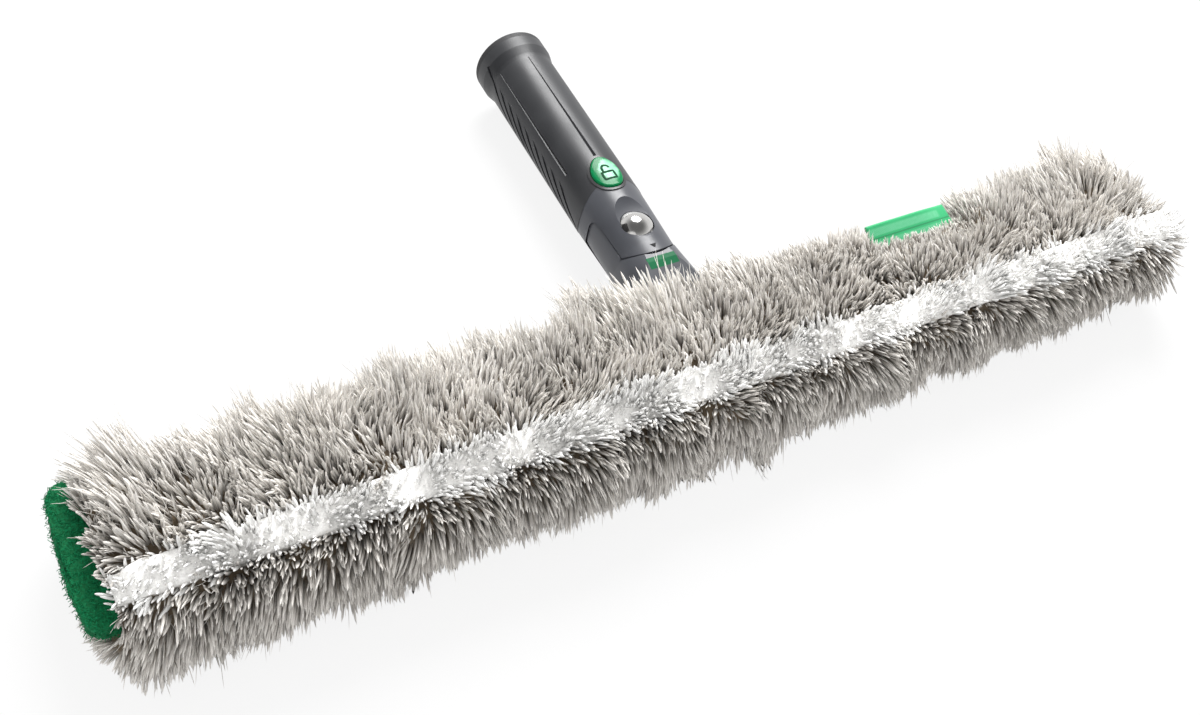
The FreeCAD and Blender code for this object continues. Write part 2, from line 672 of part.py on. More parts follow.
def make_pivot_tube():
    length = LOCK_WELL + " - " + PIN_BACK
    outer = rod("tube_outer", "Z", "tube_radius", length, "0", "pivot_reach", PIN_BACK)
    bore = rod("tube_inner", "Z", "tube_bore", length, "0", "pivot_reach", PIN_BACK + " + tube_floor")
    eye = rod("tube_eye", "Z", "stem_radius + slip", length, "0", "pivot_reach", PIN_BACK)
    return cut("pivot_tube", outer, bore, eye)


def make_lock_button():
    """The domed steel button, with its guide and the stem that reaches through the pivot pin."""
    crown = "(dome_radius * dome_radius + dome_height * dome_height) / (2 * dome_height)"
    top = DOME_BASE + " + dome_skirt + dome_height"
    ball = doc.addObject("Part::Sphere", "dome_ball")
    bind(ball, Radius=crown)
    place(ball, "0", "pivot_reach", top + " - " + crown)
    blank = rod("dome_blank", "Z", "dome_radius", "dome_skirt + dome_height", "0", "pivot_reach", DOME_BASE)
    dome = common("dome", ball, blank)
    hub = rod("lock_hub", "Z", "tube_bore - slip", "hub_length",
              "0", "pivot_reach", DOME_BASE + " - hub_length")
    stem_low = PIN_BACK + " - ring_thick"
    stem = rod("lock_stem", "Z", "stem_radius", DOME_BASE + " - " + PIN_BACK + " + ring_thick",
               "0", "pivot_reach", stem_low)
    return fuse("lock_button", dome, hub, stem)


def make_retaining_ring():
    low = PIN_BACK + " - ring_thick"
    disc = rod("ring_disc", "Z", "ring_radius", "ring_thick", "0", "pivot_reach", low)
    eye = rod("ring_eye", "Z", "stem_radius", "ring_thick", "0", "pivot_reach", low)
    return cut("retaining_ring", disc, eye)


def make_lock_spring():
    return coil_spring(
        "lock_spring", "(stem_radius + tube_bore) / 2", "lock_wire", "lock_turns",
        PIN_BACK + " + tube_floor", DOME_BASE + " - hub_length", "pivot_reach",
    )


def plunger_hole(name):
    across = "pivot_reach + egg_reach + plunger_offset"
    return rod(name, "Z", "plunger_radius + press_gap", "flange_radius", "0", across, "axis_height")


def make_socket_tube():
    length = "handle_reach - collar_radius"
    outer = rod("core_outer", "Y", "core_radius", length, "0", GRIP_START, "axis_height")
    bore = rod("core_bore", "Y", "socket_radius", length, "0", GRIP_START, "axis_height")
    well = egg_prism("core_well", "frame_wall", WELL_Z, "flange_radius")
    return cut("socket_tube", outer, bore, well, plunger_hole("core_plunger_hole"))


def notch_cutters():
    """Slanted blades that run out by themselves where the round grip falls away."""
    blades = []
    reach = "4 * notch_pitch"
    for side in (-1, 1):
        for number in range(int(size_of("notch_count"))):
            blade = doc.addObject("Part::Box", f"notch_{side + 1}_{number}")
            bind(blade, Length="flange_radius", Width=reach, Height="notch_width")
            turn(blade, RIGHT, "notch_slant")
            inner = "(grip_radius - notch_depth)"
            across = inner if side > 0 else "-flange_radius - " + inner
            along = f"pivot_reach + notch_first + {number} * notch_pitch"
            place(
                blade, across,
                along + " - 2 * notch_pitch * cos(notch_slant * 1deg)",
                "axis_height - 2 * notch_pitch * sin(notch_slant * 1deg) - notch_width / 2",
            )
            blades.append(blade)
    return blades


def crease_cutters():
    """Slim square bars on edge in the grip's surface, thinner towards the flange."""
    bars = []
    half, far_half = "crease_side / 2", "crease_side / 8"
    for name, angle in (("left", "-crease_angle"), ("front", "0"), ("right", "crease_angle")):
        bar = doc.addObject("Part::Wedge", "crease_" + name)
        bind(bar, Xmin="-" + half, Xmax=half, Zmin="-" + half, Zmax=half, Ymin="0", Ymax="crease_length")
        bind(bar, X2min="-" + far_half, X2max=far_half, Z2min="-" + far_half, Z2max=far_half)
        turn(bar, ALONG, "45 + (" + angle + ")")
        lean = f"(({angle}) * 1deg)"
        place(
            bar, f"grip_radius * sin({lean})",
            "pivot_reach + crease_start", f"axis_height + grip_radius * cos({lean})",
        )
        bars.append(bar)
    return bars


def make_grip():
    blend_start = GRIP_END + " - flange_length - flange_blend"
    sharp = revolve("grip_form", "XY_Plane", [
        ("core_radius", "pivot_reach"),
        ("grip_radius", "pivot_reach"),
        ("grip_radius", blend_start),
        ("flange_radius", GRIP_END + " - flange_length"),
        ("flange_radius", GRIP_END),
        ("core_radius", GRIP_END),
    ], z="axis_height")
    hollow_y = size_of(blend_start)
    body = fillet("grip_flared", sharp, "flange_hollow", lambda edge, spot: abs(spot.y - hollow_y) < NEAR)
    step_y = size_of(GRIP_END + " - flange_length")
    body = fillet("grip_rounded", body, "flange_round", lambda edge, spot: abs(spot.y - step_y) < NEAR)
    arch = rod("grip_arch", "Z", "collar_radius", "2 * flange_radius",
               "0", "pivot_reach", "axis_height - flange_radius")
    well = egg_prism("grip_well", "frame_wall", WELL_Z, "flange_radius")
    plain = cut("grip_plain", body, arch, block(
        "grip_lower", ALL_ROUND, "collar_radius", "2 * flange_radius",
        "-1.5 * flange_radius", "pivot_reach - collar_radius", "axis_height - flange_radius",
    ), well)
    return cut("grip", plain, *notch_cutters(), *crease_cutters())


def make_end_ring():
    outer = rod("ring_outer", "Y", "flange_radius", "ring_length", "0", GRIP_END, "axis_height")
    inner = rod("ring_inner", "Y", "core_radius", "ring_length", "0", GRIP_END, "axis_height")
    ring = cut("end_ring_sharp", outer, inner)
    end = size_of(HANDLE_END)
    middle = size_of("(core_radius + flange_radius) / 2")
    height = size_of("axis_height")

    def outer_edge(edge, spot):
        far = math.hypot(spot.x, spot.z - height) > middle
        return edge.isClosed() and far and abs(spot.y - end) < NEAR

    return fillet("end_ring", ring, "flange_round", outer_edge)


def make_button_frame():
    outer = egg_prism("frame_outer", "frame_wall", WELL_Z, "flange_radius")
    inner = egg_prism("frame_inner", "press_gap", WELL_Z, "flange_radius")
    ring = cut("frame_ring", outer, inner)
    return common("button_frame", ring, along_handle("frame_limit", "grip_radius + frame_lip"))


def make_release_button():
    """The egg-shaped cap, hollow below for its spring, with the plunger that frees the pole."""
    base = "axis_height + grip_radius - egg_base"
    blank = egg_prism("egg_blank", "0", base, "flange_radius")
    sharp = common("egg_sharp", blank, along_handle("egg_limit", "grip_radius + egg_proud"))
    low = size_of(base)
    cap = fillet("egg_cap", sharp, "egg_round", lambda edge, spot: spot.z > low + NEAR and not upright(edge))
    spot_y = "pivot_reach + egg_reach + plunger_offset"
    seat = rod("egg_seat", "Z", "spring_seat", "spring_room", "0", spot_y, base)
    hollow = cut("egg_hollow", cap, seat)
    plunger_low = "(axis_height + socket_radius + release_travel + run_gap)"
    plunger_length = base + " + spring_room + egg_proud - " + plunger_low
    plunger = rod("egg_plunger", "Z", "plunger_radius", plunger_length, "0", spot_y, plunger_low)
    return fuse("release_button", hollow, plunger)


def make_button_spring():
    return coil_spring(
        "button_spring", "(plunger_radius + spring_seat) / 2", "release_wire", "release_turns",
        WELL_Z, "axis_height + grip_radius - egg_base + spring_room",
        "pivot_reach + egg_reach + plunger_offset",
    )


def neck_passage(name):
    """The room that cloth and pile leave for the neck."""
    return rod(name, "Y", "neck_base_radius + neck_ease", ALL_ROUND,
               "0", "bar_flat / 2 + bar_edge - neck_overlap - neck_ease", "axis_height")


def make_sleeve_cloth():
    outer = bar_prism("cloth_outer", CLOTH_OUTER, CLOTH_HALF)
    inner = bar_prism("cloth_inner", CLOTH_INNER, "(" + CLOTH_HALF + " - cloth_wall)")
    return cut("sleeve_cloth", outer, inner, neck_passage("cloth_passage"))


def under_cloth(name, layer_top, thick, width, ease="0"):
    """A flat strip below the sleeve, along the closure."""
    top = "axis_height - " + CLOTH_OUTER + " - " + layer_top
    return block(
        name, "strip_length + 2 * " + ease, width + " + 2 * " + ease, thick + " + " + ease,
        "strip_start - " + ease, "bar_flat / 4 - (" + width + ") / 2 - " + ease,
        top + " - (" + thick + ") - " + ease,
    )


def make_closure():
    """Loop strip on the cloth, hook strip on the flap, and the flap that covers them."""
    return [
        under_cloth("closure_loop_strip", "0", "strip_thick", "strip_width"),
        under_cloth("closure_hook_strip", "strip_thick", "strip_thick", "strip_width"),
        under_cloth("closure_flap", "2 * strip_thick", "flap_thick", "flap_width"),
    ]


def label_slab(name, ease):
    """The label's slab, rising from the seam on the cloth's handle side."""
    made = doc.addObject("Part::Box", name)
    bind(made, Length="label_width + 2 * " + ease, Width="label_length + bar_edge + " + ease)
    bind(made, Height="label_thick + 2 * " + ease)
    turn(made, RIGHT, "label_tilt")
    return place(
        made, "label_start - " + ease, "bar_flat / 2 + " + ease + " * sin(label_tilt * 1deg)",
        "axis_height - " + ease + " * cos(label_tilt * 1deg)",
    )


def make_label():
    return cut("label_tag", label_slab("label_blank", "0"), bar_prism("label_seat", CLOTH_OUTER, CLOTH_HALF))


def make_scrub_pad():
    """A thick pad sewn to the sleeve's left end, with a bowed outer edge and soft edges."""
    outer = "-" + CLOTH_HALF + " - pad_reach"
    blank = block("pad_blank", "pad_reach", "pad_span", "pad_thick",
                  outer, "pad_shift - pad_span / 2", "axis_height + pad_lift")
    bow = rod("pad_edge", "Z", "pad_bow", "2 * axis_height + pad_thick", outer + " + pad_bow", "pad_shift")
    body = common("pad_body", blank, bow)
    seam = size_of("-" + CLOTH_HALF) - NEAR
    corner = fillet("pad_cornered", body, "pad_corner", lambda edge, spot: spot.x < seam and upright(edge))
    return fillet("scrub_pad", corner, "pad_round", lambda edge, spot: spot.x < seam and not upright(edge))


def make_pile():
    """The pile as a soft tube with closed round ends, flat below, and its pale stripe."""
    blank = bar_prism("pile_blank", PILE_RADIUS, PILE_HALF, rise="pile_rise")
    end = size_of(PILE_HALF)
    body = fillet("pile_rounded", blank, "pile_round", lambda edge, spot: abs(abs(spot.x) - end) < NEAR)
    width = "2 * (" + PILE_RADIUS + " + bar_flat)"
    floor = block("pile_floor", "3 * " + PILE_HALF, width, "axis_height",
                  "-1.5 * " + PILE_HALF, "-" + PILE_RADIUS + " - bar_flat", "-axis_height")
    notch = block(
        "pad_notch", "pad_reach + pad_bare + pile_end", "pad_span + 2 * pile_ease", ALL_ROUND,
        "-" + CLOTH_HALF + " - pad_reach - pile_end", "pad_shift - pad_span / 2 - pile_ease",
        "axis_height + pad_lift - pile_ease",
    )
    strips = under_cloth("closure_room", "0", "2 * strip_thick + flap_thick", "flap_width", "pile_ease")
    tube = cut(
        "pile_tube", body, bar_prism("pile_core", CLOTH_OUTER, CLOTH_HALF), floor, notch, strips,
        label_slab("label_room", "pile_ease"), neck_passage("pile_passage"),
    )
    slab = doc.addObject("Part::Box", "stripe_slab")
    bind(slab, Length="2 * " + CLOTH_HALF + " - pad_bare", Width="stripe_width")
    bind(slab, Height=PILE_RADIUS + " + pile_rise")
    turn(slab, RIGHT, "stripe_angle")
    place(
        slab, "pad_bare - " + CLOTH_HALF, "-bar_flat / 2 - stripe_width / 2 * cos(stripe_angle * 1deg)",
        "axis_height - stripe_width / 2 * sin(stripe_angle * 1deg)",
    )
    return cut("pile_grey", tube, slab), common("pile_white_stripe", tube, slab)


def make_all():
    neck_form = make_neck_form()
    return [
        make_crossbar(),
        make_end_cap("end_cap_left", -1),
        make_end_cap("end_cap_right", 1),
        make_neck(neck_form),
        make_neck_screws(),
        make_badge(neck_form),
        make_bush(),
        make_washers(),
        make_sleeve_cloth(),
        *make_closure(),
        make_label(),
        make_scrub_pad(),
        *make_pile(),
        make_swivel_head(),
        make_rear_cap(),
        make_pivot_tube(),
        make_lock_button(),
        make_retaining_ring(),
        make_lock_spring(),
        make_socket_tube(),
        make_grip(),
        make_end_ring(),
        make_button_frame(),
        make_release_button(),
        make_button_spring(),
    ]


def write(parts):
    """Check every object of the document, then write one file for each sub-part."""
    doc.recompute()
    failed = [item.Name for item in doc.Objects if "Invalid" in item.State or "Error" in item.State]
    if failed:
        raise RuntimeError("failed objects: " + ", ".join(failed))
    for part in parts:
        part.Label = part.Name
        if part.Shape.isNull() or not part.Shape.isValid() or not part.Shape.Solids:
            raise RuntimeError("bad shape: " + part.Label)
    os.makedirs("parts", exist_ok=True)
    for part in parts:
        part.Shape.exportStep(f"parts/{part.Label}.step")
        print(f"{part.Label:20s} {len(part.Shape.Solids)} solids, {part.Shape.Volume:10.1f} mm3")


write(make_all())
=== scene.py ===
import math

import bmesh
import bpy
from bpy.props import FloatProperty, FloatVectorProperty, IntProperty, PointerProperty
from mathutils import Matrix, Vector, noise
from mathutils.bvhtree import BVHTree


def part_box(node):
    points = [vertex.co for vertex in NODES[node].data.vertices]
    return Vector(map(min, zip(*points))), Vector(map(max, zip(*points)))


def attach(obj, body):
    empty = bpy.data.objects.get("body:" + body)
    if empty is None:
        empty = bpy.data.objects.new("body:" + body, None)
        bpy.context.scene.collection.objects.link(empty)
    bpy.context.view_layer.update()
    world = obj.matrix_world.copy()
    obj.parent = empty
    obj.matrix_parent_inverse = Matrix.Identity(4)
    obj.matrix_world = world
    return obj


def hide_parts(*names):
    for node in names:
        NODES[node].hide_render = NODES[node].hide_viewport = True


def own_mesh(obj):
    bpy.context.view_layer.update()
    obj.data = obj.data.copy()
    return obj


bl_info = {
    "name": "Window scrubber",
    "version": (1, 0, 0),
    "blender": (4, 5, 0),
    "location": "View3D > Sidebar > Scrubber",
    "description": "Dresses the window scrubber's solids: furry sleeve, scouring pad, label and handle",
    "category": "Object",
}

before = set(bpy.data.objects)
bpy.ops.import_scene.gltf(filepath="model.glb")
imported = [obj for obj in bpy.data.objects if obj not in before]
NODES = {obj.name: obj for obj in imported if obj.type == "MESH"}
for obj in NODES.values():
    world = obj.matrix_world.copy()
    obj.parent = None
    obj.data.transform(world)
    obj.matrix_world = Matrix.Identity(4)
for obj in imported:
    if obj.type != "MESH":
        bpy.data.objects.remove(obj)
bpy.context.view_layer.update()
MM = 0.001
UP, RIGHT = Vector((0, 0, 1)), Vector((1, 0, 0))

# The sleeve's cloth gives the section and the length that the fur grows on.
CLOTH_LOW, CLOTH_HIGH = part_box("sleeve_cloth")
AXIS_HEIGHT = (CLOTH_LOW.z + CLOTH_HIGH.z) / 2
CLOTH_EDGE = (CLOTH_HIGH.z - CLOTH_LOW.z) / 2
CLOTH_FLAT = CLOTH_HIGH.y - CLOTH_EDGE
CLOTH_END = CLOTH_HIGH.x
NECK_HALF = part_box("neck")[1].x
FUR_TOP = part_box("pile_grey")[1].z + 11 * MM
LABEL_LOW, LABEL_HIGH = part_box("label_tag")
PAD_LOW, PAD_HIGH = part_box("scrub_pad")

# How high the fur's roots lie above the cloth.
ROOT_LIFT = 1.5 * MM

# Middle of the pale stripe, its turn along the sleeve, and its outer and inner half width, in degrees.
STRIPE_MIDDLE, STRIPE_TURN = 10.0, 5.0
STRIPE_OUTER, STRIPE_INNER = 22.5, 16.0


def colour_property(name, description, default):
    return FloatVectorProperty(
        name=name, description=description, default=default, subtype="COLOR", size=3, min=0, max=1
    )


def length_property(name, description, default):
    return FloatProperty(name=name, description=description, default=default, unit="LENGTH", precision=4)


def power_property(name, description, default):
    return FloatProperty(name=name, description=description, default=default, unit="POWER")


class ScrubberFur(bpy.types.PropertyGroup):
    """Sizes and colours of the furry sleeve."""

    length: length_property("Lock length", "Length of a lock of fur on the sleeve's sides", 0.0178)
    width: length_property("Lock width", "Half the width of a lock at its widest", 0.0012)
    spacing: length_property("Lock spacing", "Least distance between the roots of two locks", 0.00070)
    stripe_spacing: length_property("Stripe spacing", "Least distance between the pale locks", 0.00052)
    wisp_width: length_property("Wisp width", "Half the width of a loose strand", 0.00024)
    wisp_spacing: length_property("Wisp spacing", "Least distance between loose strands", 0.0018)
    lean: FloatProperty(name="Lean", description="How far neighbouring locks lean together", default=0.26)
    curl: FloatProperty(name="Curl", description="Bend of a lock, as a share of its length", default=0.28)
    droop: FloatProperty(name="Droop", description="Sag of a lock, as a share of its length", default=0.10)
    seed: IntProperty(name="Seed", description="Fixes where the locks stand", default=7)
    root: colour_property("Root colour", "Grey fur near the cloth", (0.135, 0.104, 0.070))
    tip: colour_property("Tip colour", "Grey fur at its tips", (0.91, 0.875, 0.825))
    stripe_root: colour_property("Stripe root colour", "Pale fur near the cloth", (0.95, 0.94, 0.92))
    stripe_tip: colour_property("Stripe tip colour", "Pale fur at its tips", (0.99, 0.985, 0.97))


class ScrubberCloth(bpy.types.PropertyGroup):
    """Colours of the sleeve's cloth, its label and the scouring pad."""

    backing: colour_property("Backing colour", "Knitted cloth under the fur", (0.20, 0.18, 0.16))
    tape: colour_property("Tape colour", "Closure tapes below the sleeve", (0.10, 0.10, 0.10))
    label: colour_property("Label colour", "Woven label", (0.02, 0.41, 0.15))
    label_band: colour_property("Label band colour", "Paler woven bands of the label", (0.17, 0.56, 0.33))
    pad: colour_property("Pad colour", "Scouring pad", (0.0, 0.115, 0.035))
    pad_edge: colour_property("Pad edge colour", "Loose fibres of the scouring pad", (0.0, 0.23, 0.085))


class ScrubberHandle(bpy.types.PropertyGroup):
    """Colours of the handle."""

    grip: colour_property("Grip colour", "Soft grip", (0.023, 0.024, 0.027))
    dark: colour_property("Dark plastic colour", "Button frame, end ring and socket", (0.020, 0.020, 0.022))
    head: colour_property("Head colour", "Swivel head and neck", (0.058, 0.061, 0.071))
    button: colour_property("Button colour", "Release button's rim", (0.0, 0.16, 0.05))
    # The release button's paler middle is a painted highlight.
    button_highlight: colour_property("Button middle colour", "Release button's paler middle", (0.27, 0.62, 0.40))
    inlay: colour_property("Inlay colour", "Plain inlay on the neck", (0.0, 0.115, 0.04))
    mark: colour_property("Mark colour", "Padlock on the release button", (0.0, 0.045, 0.016))
    steel: colour_property("Steel colour", "Lock button and hidden steel", (0.78, 0.77, 0.75))


class ScrubberStage(bpy.types.PropertyGroup):
    """Floor and light."""

    floor: colour_property("Floor colour", "Pale floor", (0.72, 0.72, 0.72))
    ceiling: FloatProperty(name="Ceiling", description="Tone that metal shows straight above", default=0.18)
    sky: FloatProperty(name="Sky", description="Strength of the even light all round", default=0.80)
    key: power_property("Key light", "Power of the large lamp behind", 36.0)
    fill: power_property("Fill light", "Power of the lamp in front", 1.5)


class Wiring:
    """Adds nodes to a tree. An input is given a plain value, or the output of another node."""

    def __init__(self, tree):
        self.tree = tree

    @staticmethod
    def socket(sockets, key):
        if isinstance(key, int):
            return sockets[key]
        return next(item for item in sockets if item.name == key and item.enabled)

    def node(self, kind, inputs=None, **settings):
        made = self.tree.nodes.new(kind)
        for name, value in settings.items():
            setattr(made, name, value)
        for key, value in (inputs or {}).items():
            self.feed(made, key, value)
        return made

    def feed(self, node, key, value):
        socket = self.socket(node.inputs, key)
        if isinstance(value, bpy.types.NodeSocket):
            self.tree.links.new(value, socket)
        else:
            socket.default_value = value

    def out(self, kind, output, inputs=None, **settings):
        return self.socket(self.node(kind, inputs, **settings).outputs, output)

    def maths(self, operation, *values):
        return self.out("ShaderNodeMath", "Value", dict(enumerate(values)), operation=operation)

    def plus(self, first, second):
        return self.maths("ADD", first, second)

    def times(self, first, second):
        return self.maths("MULTIPLY", first, second)

    def split(self, vector):
        """The X, Y and Z outputs of a vector."""
        return self.node("ShaderNodeSeparateXYZ", {"Vector": vector}).outputs

    def join(self, **parts):
        return self.out("ShaderNodeCombineXYZ", "Vector", parts)

    def place(self, kind="Object"):
        """Texture coordinates inside a shader tree."""
        return self.out("ShaderNodeTexCoord", kind)

    def vector(self, operation, *values, scale=None):
        inputs = dict(enumerate(values))
        if scale is not None:
            inputs["Scale"] = scale
        return self.out("ShaderNodeVectorMath", "Vector", inputs, operation=operation)

    def span(self, value, low, high, new_low=0.0, new_high=1.0, smooth=False):
        """A value carried from one range to another and kept inside it."""
        inputs = {"Value": value, "From Min": low, "From Max": high, "To Min": new_low, "To Max": new_high}
        kind = "SMOOTHSTEP" if smooth else "LINEAR"
        return self.out("ShaderNodeMapRange", "Result", inputs, interpolation_type=kind)

    def mixed(self, share, first, second, blend="MIX"):
        inputs = {"Factor": share, "A": first, "B": second}
        return self.out("ShaderNodeMix", "Result", inputs, data_type="RGBA", blend_type=blend)

    def noise(self, vector, scale, detail=2.0, output="Fac"):
        return self.out("ShaderNodeTexNoise", output, {"Vector": vector, "Scale": scale, "Detail": detail})

    def named(self, name, kind="FLOAT"):
        """A named attribute inside a geometry tree."""
        return self.out("GeometryNodeInputNamedAttribute", "Attribute", {"Name": name}, data_type=kind)

    def chance(self, low, high, seed, kind="FLOAT"):
        inputs = {"Min": low, "Max": high, "Seed": seed}
        return self.out("FunctionNodeRandomValue", "Value", inputs, data_type=kind)

    def shaped(self, kind, geometry, inputs=None, **settings):
        """A node that takes geometry in and gives it out."""
        inputs = {"Geometry": geometry, **(inputs or {})}
        return self.out("GeometryNode" + kind, "Geometry", inputs, **settings)

    def store(self, geometry, name, value, kind="FLOAT", domain="POINT"):
        inputs = {"Geometry": geometry, "Name": name, "Value": value}
        return self.out("GeometryNodeStoreNamedAttribute", "Geometry", inputs, data_type=kind, domain=domain)


def rgba(colour):
    return (*colour, 1.0)


def tinted(colour, share):
    return [share * level for level in colour]


def settings():
    return bpy.context.scene.scrubber


# Shader groups: effects that several materials share.


def new_group(name, inputs, outputs):
    """A shader node group with named sockets; returns its wiring and its two end nodes."""
    tree = bpy.data.node_groups.new(name, "ShaderNodeTree")
    for label, kind, default in inputs:
        socket = tree.interface.new_socket(label, in_out="INPUT", socket_type=kind)
        socket.default_value = default
    for label, kind in outputs:
        tree.interface.new_socket(label, in_out="OUTPUT", socket_type=kind)
    wiring = Wiring(tree)
    return wiring, wiring.node("NodeGroupInput"), wiring.node("NodeGroupOutput")


def attribute(wiring, name):
    """A named attribute inside a shader tree."""
    return wiring.out("ShaderNodeAttribute", "Fac", attribute_name=name)


def fibre_group():
    """Colour and strands of a lock of fur, from root to tip, with painted light on the tips of the longer
    locks.
    """
    wiring, start, end = new_group(
        "Fibre tone",
        [
            ("Root", "NodeSocketColor", (0.2, 0.2, 0.2, 1)),
            ("Tip", "NodeSocketColor", (0.8, 0.8, 0.8, 1)),
            ("Tip start", "NodeSocketFloat", 0.35),
            ("Contrast", "NodeSocketFloat", 1.0),
        ],
        [("Color", "NodeSocketColor"), ("Height", "NodeSocketFloat")],
    )
    along, around, shade = (attribute(wiring, name) for name in ("along", "around", "shade"))
    strand = wiring.join(X=wiring.times(around, 7.0), Y=wiring.times(along, 1.1), Z=wiring.times(shade, 40.0))
    strands = wiring.noise(strand, 2.0, 3.0)
    # Painted light: longer locks, mostly the tall tufts on the sleeve's top and back, get paler tips where
    # light falls from above and behind.
    lit_pale_tips = wiring.span(attribute(wiring, "reach"), 1.08, 1.5, 0.0, 0.36)
    from_tip = wiring.plus(along, wiring.span(strands, 0.3, 0.7, -0.16, 0.16))
    share = wiring.span(wiring.plus(from_tip, lit_pale_tips), start.outputs["Tip start"], 1.0, smooth=True)
    tone = wiring.mixed(share, start.outputs["Root"], start.outputs["Tip"])
    streak = wiring.span(strands, 0.28, 0.72, -0.24, 0.12)
    lock = wiring.span(shade, 0.0, 1.0, -0.22, 0.11)
    level = wiring.maths("MULTIPLY_ADD", wiring.plus(streak, lock), start.outputs["Contrast"], 1.0)
    wiring.feed(end, "Color", wiring.mixed(1.0, tone, level, "MULTIPLY"))
    wiring.feed(end, "Height", strands)
    return wiring.tree


def grain_group():
    """The fine moulded grain of plastic and rubber, with slow changes of tone."""
    wiring, start, end = new_group(
        "Moulded grain",
        [
            ("Colour", "NodeSocketColor", (0.2, 0.2, 0.2, 1)),
            ("Grain", "NodeSocketFloat", 2600.0),
            ("Roughness", "NodeSocketFloat", 0.45),
        ],
        [("Color", "NodeSocketColor"), ("Roughness", "NodeSocketFloat"), ("Height", "NodeSocketFloat")],
    )
    place = wiring.place()
    fine = wiring.noise(place, start.outputs["Grain"], 2.0)
    slow = wiring.noise(place, 55.0, 3.0)
    level = wiring.span(slow, 0.3, 0.7, 0.90, 1.10)
    wiring.feed(end, "Color", wiring.mixed(1.0, start.outputs["Colour"], level, "MULTIPLY"))
    swing = wiring.plus(*(wiring.span(change, 0.3, 0.7, -0.05, 0.05) for change in (fine, slow)))
    wiring.feed(end, "Roughness", wiring.plus(start.outputs["Roughness"], swing))
    wiring.feed(end, "Height", fine)
    return wiring.tree


def weave_group():
    """Warp and weft of a plain weave, from a map in metres."""
    wiring, start, end = new_group(
        "Plain weave",
        [("Threads", "NodeSocketFloat", 2200.0)],
        [("Mask", "NodeSocketFloat"), ("Height", "NodeSocketFloat")],
    )
    place = wiring.place("UV")
    scaled = wiring.vector("SCALE", place, scale=start.outputs["Threads"])
    parts = wiring.split(scaled)
    across, down = parts["X"], parts["Y"]
    over = wiring.times(wiring.maths("SINE", across), wiring.maths("SINE", down))
    fuzz = wiring.noise(scaled, 0.35, 3.0)
    height = wiring.plus(wiring.span(over, -1.0, 1.0, 0.0, 0.7), wiring.span(fuzz, 0.3, 0.7, 0.0, 0.3))
    wiring.feed(end, "Mask", wiring.span(over, -0.4, 0.4))
    wiring.feed(end, "Height", height)
    return wiring.tree


GROUPS = {}


def group(name):
    """A shared shader group, built the first time that it is asked for."""
    makers = {"fibre": fibre_group, "grain": grain_group, "weave": weave_group}
    if name not in GROUPS:
        GROUPS[name] = makers[name]()
    return GROUPS[name]


def new_material(name, **shine):
    """A material with one Principled shader; plain numbers go straight on the shader's sockets."""
    material = bpy.data.materials.new(name)
    material.use_nodes = True
    wiring = Wiring(material.node_tree)
    shader = material.node_tree.nodes["Principled BSDF"]
    for label, value in shine.items():
        shader.inputs[label.replace("_", " ")].default_value = value
    return material, wiring, shader


def place_group(wiring, name, inputs):
    made = wiring.node("ShaderNodeGroup", node_tree=group(name))
    for label, value in inputs.items():
        wiring.feed(made, label, value)
    return made


def bump(wiring, shader, height, strength, depth):
    inputs = {"Height": height, "Strength": strength, "Distance": depth}
    wiring.feed(shader, "Normal", wiring.out("ShaderNodeBump", "Normal", inputs))


def moulded_material(name, colour, roughness, grain=2600.0, relief=0.10, **shine):
    """Moulded plastic or rubber with a fine grain."""
    material, wiring, shader = new_material(name, **shine)
    made = place_group(wiring, "grain", {"Colour": rgba(colour), "Roughness": roughness, "Grain": grain})
    wiring.feed(shader, "Base Color", made.outputs["Color"])
    wiring.feed(shader, "Roughness", made.outputs["Roughness"])
    bump(wiring, shader, made.outputs["Height"], relief, 0.1 * MM)
    return material


def fur_material(name, root, tip, tip_start, contrast):
    material, wiring, shader = new_material(
        name, Roughness=0.9, Specular_IOR_Level=0.15, Sheen_Weight=0.3, Sheen_Roughness=0.5
    )
    made = place_group(wiring, "fibre", {
        "Root": rgba(root), "Tip": rgba(tip), "Tip start": tip_start, "Contrast": contrast,
    })
    wiring.feed(shader, "Base Color", made.outputs["Color"])
    bump(wiring, shader, made.outputs["Height"], 0.15, 0.2 * MM)
    return material


def woven_material(name, colour, other, threads):
    material, wiring, shader = new_material(name, Roughness=0.85, Sheen_Weight=0.2)
    made = place_group(wiring, "weave", {"Threads": threads})
    share = wiring.span(made.outputs["Mask"], 0.0, 1.0, 0.0, 0.5)
    wiring.feed(shader, "Base Color", wiring.mixed(share, rgba(colour), rgba(other)))
    bump(wiring, shader, made.outputs["Height"], 0.6, 0.15 * MM)
    return material


def steel_material(name, colour, roughness):
    """Steel with a slightly uneven shine."""
    material, wiring, shader = new_material(name, Metallic=1.0)
    place = wiring.place()
    smear = wiring.noise(place, 900.0, 2.0)
    wiring.feed(shader, "Base Color", wiring.mixed(
        wiring.span(smear, 0.3, 0.7), rgba(colour), rgba(tinted(colour, 0.94))
    ))
    wiring.feed(shader, "Roughness", wiring.span(smear, 0.3, 0.7, roughness, roughness + 0.06))
    return material


def dress(material, *names):
    """Give a material to CAD nodes."""
    for name in names:
        for slot in NODES[name].material_slots:
            slot.link = "OBJECT"
            slot.material = material


def placed(name, data):
    """A new object in the scene."""
    made = bpy.data.objects.new(name, data)
    bpy.context.scene.collection.objects.link(made)
    return made


def new_mesh(name, spots, faces):
    mesh = bpy.data.meshes.new(name)
    mesh.from_pydata(spots, [], faces)
    return mesh


def grid_faces(columns, rows):
    """The faces of a grid whose points are numbered row by row."""
    wide = columns + 1
    corners = [row * wide + column for row in range(rows) for column in range(columns)]
    return [(first, first + 1, first + wide + 1, first + wide) for first in corners]


def new_piece(name, mesh, body, replaced=()):
    """A finished piece at the origin, riding on a body."""
    piece = placed(name, mesh)
    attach(piece, body)
    if replaced:
        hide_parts(*replaced)
    return piece


# The furry sleeve.


